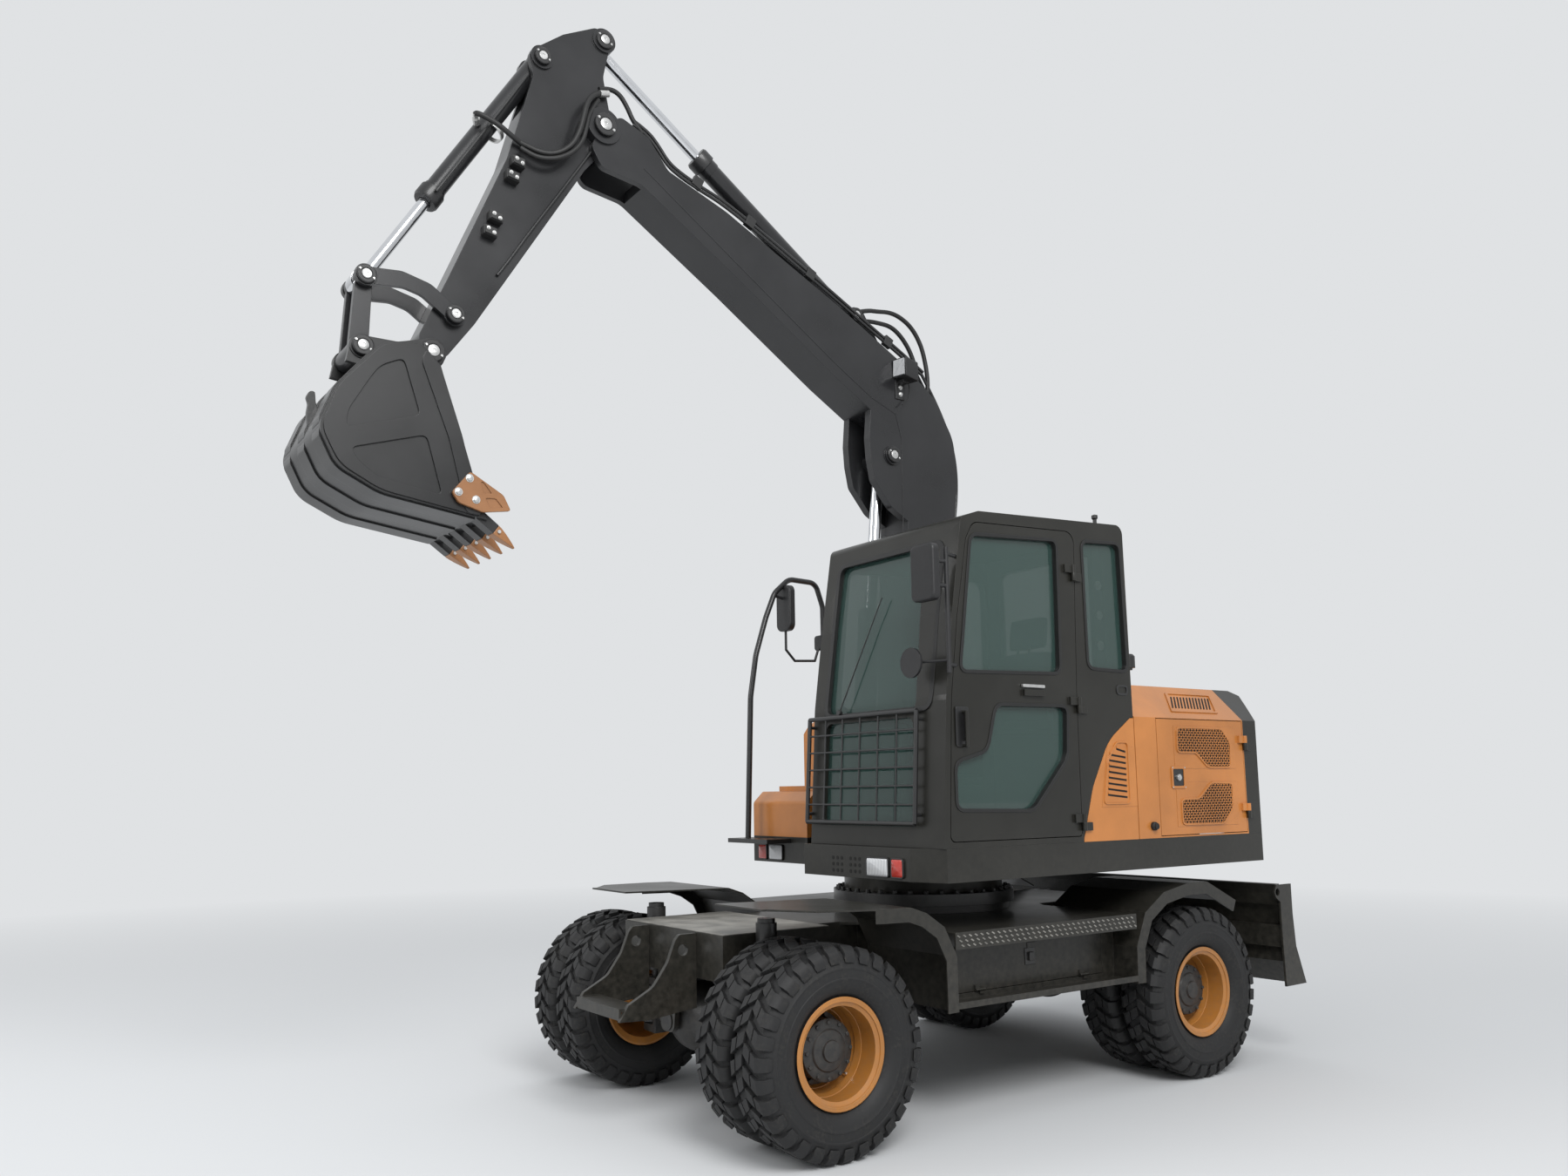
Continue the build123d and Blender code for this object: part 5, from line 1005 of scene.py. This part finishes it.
def cushion(name, middle, half, lean=0.0):
    """A stuffed block: thick in the middle, pulled in along its sewn edge."""
    crown, squares = 0.35, 14
    made = bmesh.new()
    bmesh.ops.create_grid(made, x_segments=squares, y_segments=squares, size=1.0)
    for vert in made.verts:
        a, b = vert.co.x, vert.co.y
        swell = (1 - abs(a) ** 3.2) * (1 - abs(b) ** 3.2)
        groove = 0.10 * math.exp(-((abs(a) - 0.58) / 0.05) ** 2)
        squeeze = 1 - 0.05 * (a * a * b * b)
        vert.co = Vector((a * squeeze, b * squeeze,
                          0.45 + crown * swell ** 0.6 - groove * min(1, swell * 3)))
    made.faces.ensure_lookup_table()
    lower = bmesh.ops.duplicate(made, geom=made.faces[:] + made.verts[:] + made.edges[:])
    for item in lower["geom"]:
        if isinstance(item, bmesh.types.BMVert):
            item.co.z = -0.45 - (item.co.z - 0.45) * 0.25
    rims = [e for e in made.edges if len(e.link_faces) == 1]
    bmesh.ops.bridge_loops(made, edges=rims)
    bmesh.ops.recalc_face_normals(made, faces=made.faces)
    data = bpy.data.meshes.new(name)
    made.to_mesh(data)
    made.free()
    data.transform(Matrix.Diagonal((*half, 1)))
    data.transform(Matrix.Translation(spot(*middle)) @ Matrix.Rotation(lean, 4, "Y"))
    piece = fit(data, cloth, "house", smooth=70)
    rounder = piece.modifiers.new("rounder", "SUBSURF")
    rounder.levels = rounder.render_levels = 1
    return piece


BACK_LEAN = math.radians(-98)
base_cushion = cushion("seat_base", (0.050, 0.560, 1.598), (0.245, 0.235, 0.062))
cushion("seat_back", (-0.232, 0.560, 1.925), (0.300, 0.215, 0.062), lean=BACK_LEAN)
cushion("seat_head", (-0.312, 0.560, 2.325), (0.085, 0.125, 0.040), lean=BACK_LEAN)
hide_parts("seat")
pedestal = Work()
pedestal.block((-0.150, 0.190), (0.400, 0.720), (1.285, 1.520))
pedestal.block((-0.200, 0.270), (0.345, 0.775), (1.518, 1.548))
for y in (0.338, 0.752):
    pedestal.plate_y(rounded([(-0.215, 1.800), (0.130, 1.790), (0.130, 1.835), (-0.215, 1.850)], 0.012),
                     (y, y + 0.030))
for y in (0.510, 0.590):
    pedestal.turned([(0, 0.007), (0.12, 0.007), (0.12, 0)], spot(-0.275, y, 2.200), (-0.2, 0, 1), 12)
fit(pedestal.mesh("seat_pedestal"), trim, "house", round_off=0.006)


# ---- boom
# A box beam welded from plate, in grey enamel.  Steel lines are clamped along its back, hoses
# bridge its knee, its pins have bolted end plates, and a work lamp sits on its left side.
grey = paint("arm_grey_paint", (0.0150, 0.0152, 0.0165), 0.30, specular=0.40, dust=0.04)
wear(grey, *all_in("arm_paint"))
BOOM_MIDDLE = -0.120


def at(point, y):
    """A place given in millimetres ahead and up, and metres across from the boom's middle."""
    return spot(point[0] / 1000, BOOM_MIDDLE + y, point[1] / 1000)


def pin_ends(name, point, reach, radius, body):
    """A greased pin's end plates: black collar, bright plated disc and its keeper bolts."""
    collar, disc = Work(), Work()
    for side in (1, -1):
        out = (0, side, 0)
        foot = at(point, side * reach)
        collar.turned([(0, radius), (0.010, radius), (0.013, radius - 0.004), (0.013, radius * 0.60),
                       (0.009, radius * 0.58), (0.009, 0)], foot, out, 32)
        disc.turned([(0.009, radius * 0.52), (0.013, radius * 0.52), (0.015, radius * 0.44),
                     (0.015, radius * 0.16),
                     (0.012, radius * 0.14), (0.012, 0)], foot, out, 28)
        for a in (0.5, 0.5 + math.pi):
            head = foot + Vector((math.cos(a) * radius * 0.8, side * 0.010, math.sin(a) * radius * 0.8))
            disc.bolt(head, out, radius * 0.13, 0.007)
    fit(collar.mesh(name + "_collar"), black, body, smooth=30)
    fit(disc.mesh(name + "_disc"), zinc, body, smooth=30)


pin_ends("stick_pin", (1967, 4790), 0.1405, 0.058, "boom")
pin_ends("stick_cylinder_base_pin", (348, 4187), 0.0905, 0.040, "boom")
pin_ends("boom_cylinder_pin", (135, 3390), 0.1335, 0.046, "boom")
pin_ends("boom_foot_pin", (30, 1600), 0.1725, 0.052, "house")
pin_ends("boom_cylinder_foot_pin", (360, 1190), 0.1045, 0.044, "house")

seams = Work()
UNDER_SEAM = [(1740, 4640), (1162, 4262), (532, 3856), (276, 3706), (100, 3640), (60, 3500), (66, 3022),
              (110, 1760)]
for side in (1, -1):
    for start, end in zip(UNDER_SEAM, UNDER_SEAM[1:]):
        first, second = Vector(start), Vector(end)
        across = (second - first).normalized().orthogonal() * 3.5
        strip = [tuple(p) for p in (first + across, second + across, second - across, first - across)]
        seams.skin([[at(p, side * 0.1208) for p in strip], [at(p, side * 0.1225) for p in strip]],
                   closed=False)
fit(seams.mesh("boom_seams"), grey, "boom", round_off=0.0006)

BOOM_LINE = [(-120, 3905), (49, 3995), (240, 4085), (476, 4206), (860, 4392), (1245, 4572), (1420, 4618),
             (1520, 4652), (1600, 4690), (1660, 4765), (1720, 4822), (1800, 4852)]
for index, (y, lift) in enumerate(((0.106, 14), (0.106, 36), (-0.106, 14), (-0.106, 36))):
    run = [at((a - lift * 0.42, b + lift * 0.9), y) for a, b in BOOM_LINE]
    pipe("boom_line_%d" % index, run, 0.0085, black, "boom")
clamps = Work()
for a, b in ((150, 4040), (700, 4314), (1100, 4508), (1430, 4637)):
    for y in (0.106, -0.106):
        first = at((a - 6, b + 4), y)
        corners = ((-0.022, -0.018), (0.030, 0.006), (0.006, 0.060), (-0.046, 0.036))
        sides = [[first + Vector((x, reach, z)) for x, z in corners] for reach in (-0.014, 0.014)]
        clamps.skin(sides, closed=False)
fit(clamps.mesh("boom_line_clamps"), cast, "boom", round_off=0.003)

hose = mottled(
    "hydraulic_hose", (60.0, 4.0), (0.007, 0.007, 0.007), (0.018, 0.018, 0.018),
    grain=(600.0, 1.0, 0.3, 0.0005),
    Roughness=0.55,
)
KNEE_HOSES = (
    [(345, 4205), (262, 4236), (187, 4245), (90, 4262), (2, 4246), (-80, 4200), (-140, 4120), (-168, 4040),
     (-186, 3950), (-190, 3860), (-180, 3800)],
    [(340, 4165), (240, 4190), (152, 4196), (60, 4196), (-10, 4160), (-70, 4100), (-110, 4030),
     (-135, 3950), (-140, 3880), (-125, 3830)],
)
for index, points in enumerate(KNEE_HOSES):
    pipe("knee_hose_%d" % index, [at(p, 0.085 - 0.035 * index) for p in points], 0.013, hose, "boom")
KNEE_LINES = [(-130, 3950), (-215, 3830), (-300, 3690), (-368, 3540), (-396, 3400), (-396, 3250),
              (-368, 3060), (-330, 2900), (-290, 2760)]
for index, y in enumerate((0.050, 0.085)):
    pipe("knee_line_%d" % index, [at(p, y) for p in KNEE_LINES], 0.009, black, "boom")

lamp_parts, lamp_glass, lamp_metal = Work(), Work(), Work()
LAMP = (40, 3890)
box_edge = rounded([(-0.055, -0.050), (0.060, -0.062), (0.060, 0.052), (-0.050, 0.062)], 0.010)


def on_lamp(a, b, level):
    """Places on the work lamp, which tips a little up: across, up, and level ahead of its middle."""
    return at(LAMP, 0.170) + Vector((0.030 + level, a, b + level * 0.2))


lamp_parts.sheet(box_edge, on_lamp, -0.055, 0.040)
lamp_glass.sheet(grown(box_edge, -0.010), on_lamp, 0.040, 0.045)
lamp_metal.block((0.030, 0.100), (BOOM_MIDDLE + 0.121, BOOM_MIDDLE + 0.128), (3.730, 3.850))
lamp_metal.block((0.045, 0.085), (BOOM_MIDDLE + 0.128, BOOM_MIDDLE + 0.180), (3.815, 3.842))
fit(lamp_parts.mesh("work_lamp_housing"), trim, "boom", round_off=0.004)
fit(lamp_glass.mesh("work_lamp_lens"), lens, "boom")
fit(lamp_metal.mesh("work_lamp_bracket"), black, "boom", round_off=0.002)
lamp_bolts = Work()
for height in (3760, 3800):
    lamp_bolts.bolt(at((65, height), 0.128), (0, 1, 0), 0.010, 0.010)
fit(lamp_bolts.mesh("work_lamp_bolts"), zinc, "boom", smooth=30)
pipe("work_lamp_wire", [at(p, 0.150) for p in ((30, 3850), (10, 3810), (20, 3740), (60, 3700), (74, 3690))],
     0.0035, hose, "boom")


# ---- stick and its hoses
# A shorter box beam with pinned joints at both ends.  Cast clamps on its left side hold the
# rubber hoses that come over from the boom and go on to the bucket's cylinder.
pin_ends("stick_cylinder_eye_pin", (1947, 5274), 0.0905, 0.046, "stick")
pin_ends("bucket_cylinder_base_pin", (2283, 5065), 0.0945, 0.042, "stick")
pin_ends("rocker_pin", (2706, 3655), 0.1185, 0.042, "stick")
pin_ends("bucket_pin", (2816, 3451), 0.1485, 0.050, "bucket")
pin_ends("link_pin", (3122, 3414), 0.1485, 0.045, "bucket")
pin_ends("link_top_pin", (3105, 3749), 0.1125, 0.042, "rocker")
clamp_blocks, clamp_tops = Work(), Work()
for a, b in ((2420, 4395), (2528, 4092)):
    for lift in (0, 78):
        middle = at((a + 18 - lift * 0.35, b + lift), 0.080)
        for low, high, size in ((0, 0.042, 0.027), (0.044, 0.050, 0.024)):
            corners = [(x * size * 1.2, z * size) for x, z in ((-1, -1), (1, -0.6), (1, 1), (-1, 0.6))]
            sides = [[middle + Vector((x, level, z)) for x, z in corners] for level in (low, high)]
            clamp_blocks.skin(sides, closed=False)
        for shift in (-0.014, 0.014):
            clamp_tops.bolt(middle + Vector((shift, 0.050, shift * 0.6)), (0, 1, 0), 0.007, 0.007)
fit(clamp_blocks.mesh("stick_clamps"), cast, "stick", round_off=0.003)
fit(clamp_tops.mesh("stick_clamp_tops"), zinc, "stick", smooth=30)
STICK_HOSE = [(1974, 4971), (2030, 4935), (2075, 4860), (2095, 4780), (2115, 4700), (2150, 4620),
              (2210, 4568), (2270, 4550), (2336, 4558), (2400, 4578)]
# the loops stand off the side, clear of the boom's ears when the stick is folded in
HOSE_REACH = (0.108, 0.128, 0.152, 0.160, 0.160, 0.156, 0.142, 0.126, 0.112, 0.105)
pipe("stick_hose", [at(p, y) for p, y in zip(STICK_HOSE, HOSE_REACH)], 0.014, hose, "stick")
UNDER_HOSE = [(1990, 4930), (2050, 4830), (2075, 4740), (2100, 4650), (2150, 4580), (2220, 4530),
              (2290, 4512), (2350, 4520), (2400, 4548)]
pipe("stick_hose_under", [at(p, y) for p, y in zip(UNDER_HOSE, HOSE_REACH)], 0.012, hose, "stick")
TIP_HOSES = (
    (0.106, [(1740, 4835), (1790, 4875), (1825, 4945), (1872, 5005), (1935, 5012), (1985, 4990)]),
    (-0.106, [(1740, 4835), (1790, 4870), (1830, 4930), (1880, 4985), (1930, 4995), (1985, 4975)]),
)
for index, (y, line) in enumerate(TIP_HOSES):
    bend = ("boom", "stick", tuple(at((1760, 4850), y)), tuple(at((1960, 5005), y)))
    pipe("tip_hose_%d" % index, [at(p, y) for p in line], 0.012, hose, bend)
fittings = Work()
fittings.turned([(0, 0.017), (0.05, 0.017), (0.05, 0)], at((1974, 4971), 0.108) - Vector((0.04, 0, -0.01)),
                (1, 0, -0.3), 16)
fit(fittings.mesh("hose_fittings"), zinc, "stick")
pipe("stick_line", [at(p, 0.089) for p in ((1990, 4700), (2080, 4560), (2200, 4370), (2330, 4170),
                                           (2440, 3990), (2500, 3900))], 0.007, black, "stick")
ports = Work()
PORT_OUT = Vector((0.45, 0.80, 0.30)).normalized()
port = at((2568, 4630), 0) + PORT_OUT * 0.049
ports.turned([(0, 0.018), (0.030, 0.018), (0.030, 0.012), (0.060, 0.012), (0.060, 0)], port, PORT_OUT, 16)
end_run = [at((2400, 4578), 0.105), at((2450, 4590), 0.118), at((2520, 4625), 0.125),
           port + PORT_OUT * 0.070, port + PORT_OUT * 0.050]
bend = ("stick", "bucket_cylinder_barrel", tuple(end_run[0]), tuple(end_run[3]))
pipe("port_hose", end_run, 0.0125, hose, bend)
ports.ring(oblong((-0.012, 0.012), (0.052, 0.0585)), at((2500, 4655), 0),
           (2854 - 2283, 0, 4194 - 5065), 24)
fit(ports.mesh("bucket_cylinder_ports"), zinc, "bucket_cylinder_barrel")
steel_line = [at(p, 0.072) for p in ((2350, 4960), (2420, 4840), (2560, 4610), (2700, 4380), (2790, 4236))]
pipe("bucket_cylinder_line", steel_line, 0.008, black, "bucket_cylinder_barrel")


# ---- bucket
# A shell rolled from plate between side plates that stand proud around sunken fields.  Wear
# bands are welded round its back; five points are pinned and two side cutters bolted to it.
bucket_grey = paint("bucket_grey_paint", (0.0150, 0.0151, 0.0155), 0.36, specular=0.40, dust=0.04)
wear(bucket_grey, *all_in("bucket_paint"))
bronze = paint("tooth_bronze_paint", (0.30, 0.130, 0.046), 0.42, dust=0.05)
BUCKET_HALF = 0.315
BUCKET_OUTLINE = [
    (2852, 3325), (2925, 3404), (3000, 3392), (3085, 3372), (3262, 3165), (3326, 2985), (3250, 2838),
    (3080, 2752), (2650, 2690),
    (2660, 2740), (2742, 3028), (2800, 3200),
]
FIELDS = (
    [(2999, 3328), (3095, 3278), (3133, 3222), (3222, 3066), (3228, 2992), (2924, 3093)],
    [(2896, 3013), (3206, 2912), (3180, 2866), (3098, 2806), (2824, 2762)],
)


def pierced(work, outer, holes, place, low, high):
    """A plate with holes between two levels."""
    loops = [[Vector((a, b, 0)) for a, b in loop] for loop in [outer, *holes]]
    flat = [p for loop in loops for p in loop]
    base = len(work.points)
    for level in (low, high):
        work.points.extend(place(p.x, p.y, level) for p in flat)
    for triangle in tessellate_polygon(loops):
        work.faces.append(tuple(base + i for i in triangle))
        work.faces.append(tuple(base + len(flat) + i for i in reversed(triangle)))
    start = 0
    for loop in loops:
        for i in range(len(loop)):
            a, b = base + start + i, base + start + (i + 1) % len(loop)
            work.faces.append((a, b, b + len(flat), a + len(flat)))
        start += len(loop)
    return work


DOUBLER = metres([
    (2652, 2692), (2742, 3028), (2842, 3318), (2905, 3385), (2925, 3330), (2800, 3010), (2735, 2760),
    (2720, 2700),
])
skins = Work()
for side in (1, -1):
    on_bucket = on_side(BUCKET_HALF, side, BOOM_MIDDLE)
    windows = [rounded(metres(field), 0.03, 4) for field in FIELDS]
    pierced(skins, rounded(metres(BUCKET_OUTLINE), 0.05, 5), windows, on_bucket, -0.002, 0.0075)
    pierced(skins, rounded(DOUBLER, 0.02, 3), [], on_bucket, 0.0072, 0.0145)
fit(skins.mesh("bucket_side_frames"), bucket_grey, "bucket", smooth=25, round_off=0.002)
LIP, TIP = Vector((2.620, 2.680)), Vector((2.479, 2.576))
forward = (TIP - LIP).normalized()
upward = Vector((-forward.y, forward.x))
teeth, tooth_pins, cutters, cutter_bolts = Work(), Work(), Work(), Work()
for i in range(5):
    middle = BOOM_MIDDLE + (i - 2) * (BUCKET_HALF * 2 - 0.090) / 4
    rings = []
    for reach, width, thick in ((0.056, 0.064, 0.046), (0.070, 0.062, 0.045), (0.105, 0.054, 0.034),
                                (0.150, 0.034, 0.016), (0.174, 0.016, 0.006)):
        foot = LIP + forward * reach
        ring = []
        for sideways, lift in ((-1, -1), (1, -1), (1, 1), (-1, 1)):
            p = foot + upward * (lift * thick / 2)
            ring.append(spot(p.x, middle + sideways * width / 2, p.y))
        rings.append(ring)
    teeth.skin(rings, closed=False)
    pin_at = LIP + forward * 0.072
    tooth_pins.turned([(0, 0.008), (0.076, 0.008), (0.076, 0)], spot(pin_at.x, middle - 0.038, pin_at.y),
                      (0, 1, 0), 12)
cutter_line = metres([(2650, 2705), (2526, 2725), (2560, 2790), (2711, 2875), (2790, 2777), (2760, 2735)])
for side in (1, -1):
    on_cutter = on_side(BUCKET_HALF + 0.0150, side, BOOM_MIDDLE)
    pockets = [
        rounded(metres([(2562, 2735), (2622, 2724), (2642, 2768), (2596, 2772)]), 0.006, 2),
        rounded(metres([(2612, 2790), (2650, 2788), (2664, 2836), (2652, 2838)]), 0.006, 2),
    ]
    edge = rounded(cutter_line, 0.012, 3)
    pierced(cutters, edge, [], on_cutter, 0.0, 0.010)
    pierced(cutters, edge, pockets, on_cutter, 0.0095, 0.0150)
    for a, b in ((2.714, 2.845), (2.762, 2.780), (2.684, 2.755)):
        cutter_bolts.bolt(on_cutter(a, b, 0.0145), (0, side, 0), 0.0135, 0.011)
fit(teeth.mesh("bucket_tooth_points"), bronze, "bucket", smooth=25, round_off=0.003,
    stands_for=["bucket_teeth"])
fit(tooth_pins.mesh("bucket_tooth_pins"), zinc, "bucket")
fit(cutters.mesh("side_cutters"), bronze, "bucket", smooth=25)
fit(cutter_bolts.mesh("side_cutter_bolts"), zinc, "bucket")
shell_mesh = frame["nodes"]["bucket"].data
HEART = spot(3.000, BOOM_MIDDLE, 3.060)
BAND_TOP, BAND_BACK = 3.330, 3.3275
strips = []
for middle in (-0.240, 0.0, 0.240):
    strip = bmesh.new()
    strip.from_mesh(shell_mesh)
    bmesh.ops.remove_doubles(strip, verts=strip.verts, dist=1e-5)
    for edge_y, away in ((middle - 0.055, -1), (middle + 0.055, 1)):
        bmesh.ops.bisect_plane(
            strip, geom=strip.verts[:] + strip.edges[:] + strip.faces[:],
            plane_co=spot(0, BOOM_MIDDLE + edge_y, 0), plane_no=(0, away, 0), clear_outer=True,
        )
    stray = [
        f for f in strip.faces
        if abs(f.normal.y) > 0.2 or f.normal.dot(f.calc_center_median() - HEART) < 0.15
        or f.calc_center_median().z > BAND_TOP or f.calc_center_median().x < HEART.x - 0.34
    ]
    bmesh.ops.delete(strip, geom=stray, context="FACES")
    bmesh.ops.solidify(strip, geom=strip.faces[:], thickness=-0.007)
    for vert in strip.verts:
        vert.co.x = min(vert.co.x, spot(BAND_BACK, 0, 0).x)
    strip_mesh = bpy.data.meshes.new("wear_band")
    bmesh.ops.recalc_face_normals(strip, faces=strip.faces)
    strip.to_mesh(strip_mesh)
    strip.free()
    strips.append(strip_mesh)
fit(joined("bucket_wear_bands", strips), bucket_grey, "bucket", smooth=30)
hook = Work().plate_y(
    rounded(metres([(3262, 3080), (3310, 3010), (3322, 3110), (3316, 3150), (3326, 3178), (3312, 3205),
                    (3290, 3206), (3286, 3160)]), 0.010),
    (BOOM_MIDDLE + 0.036, BOOM_MIDDLE + 0.060))
fit(hook.mesh("bucket_hook"), bucket_grey, "bucket", round_off=0.003)


# ---- cylinders
# Steel tubes in black paint with bright rods.  Each is closed by a screwed gland that seals
# the rod where it comes out.
for name, base, eye, reach, radius in (
    ("stick_cylinder", (348, 4187), (1947, 5274), 1.218, 0.056),
    ("bucket_cylinder", (2283, 5065), (3105, 3749), 1.010, 0.052),
    ("boom_cylinder", (360, 1190), (135, 3390), 1.300, 0.058),
):
    start, end = at(base, 0), at(eye, 0)
    line = (end - start).normalized()
    gland = Work().ring(
        [(-0.070, radius - 0.004), (-0.066, radius + 0.008), (-0.010, radius + 0.008),
         (0.002, radius + 0.002), (0.004, 0.030), (-0.02, 0.030)],
        start + line * reach, line, 40,
    )
    fit(gland.mesh(name + "_gland"), black, name + "_barrel", smooth=35)


# ---- mirrors
# Plastic heads clamped to steel tubes, one by the cab and one on the right.  Bright glass is
# let into the side that the driver looks at.
mirror_glass = mottled(
    "mirror_glass", (3.0, 4.0), (0.70, 0.72, 0.74), (0.80, 0.82, 0.84), Metallic=1.0, Roughness=0.04
)
faces = Work()
for y, z, x in (((0.955, 1.080), (2.365, 2.597), 0.8318), ((-1.060, -0.940), (2.515, 2.767), 0.1598)):
    edge = rounded(oblong(y, z), 0.025)
    faces.plate_x(edge, (x - 0.0015, x))
fit(faces.mesh("mirror_faces"), mirror_glass, "house")
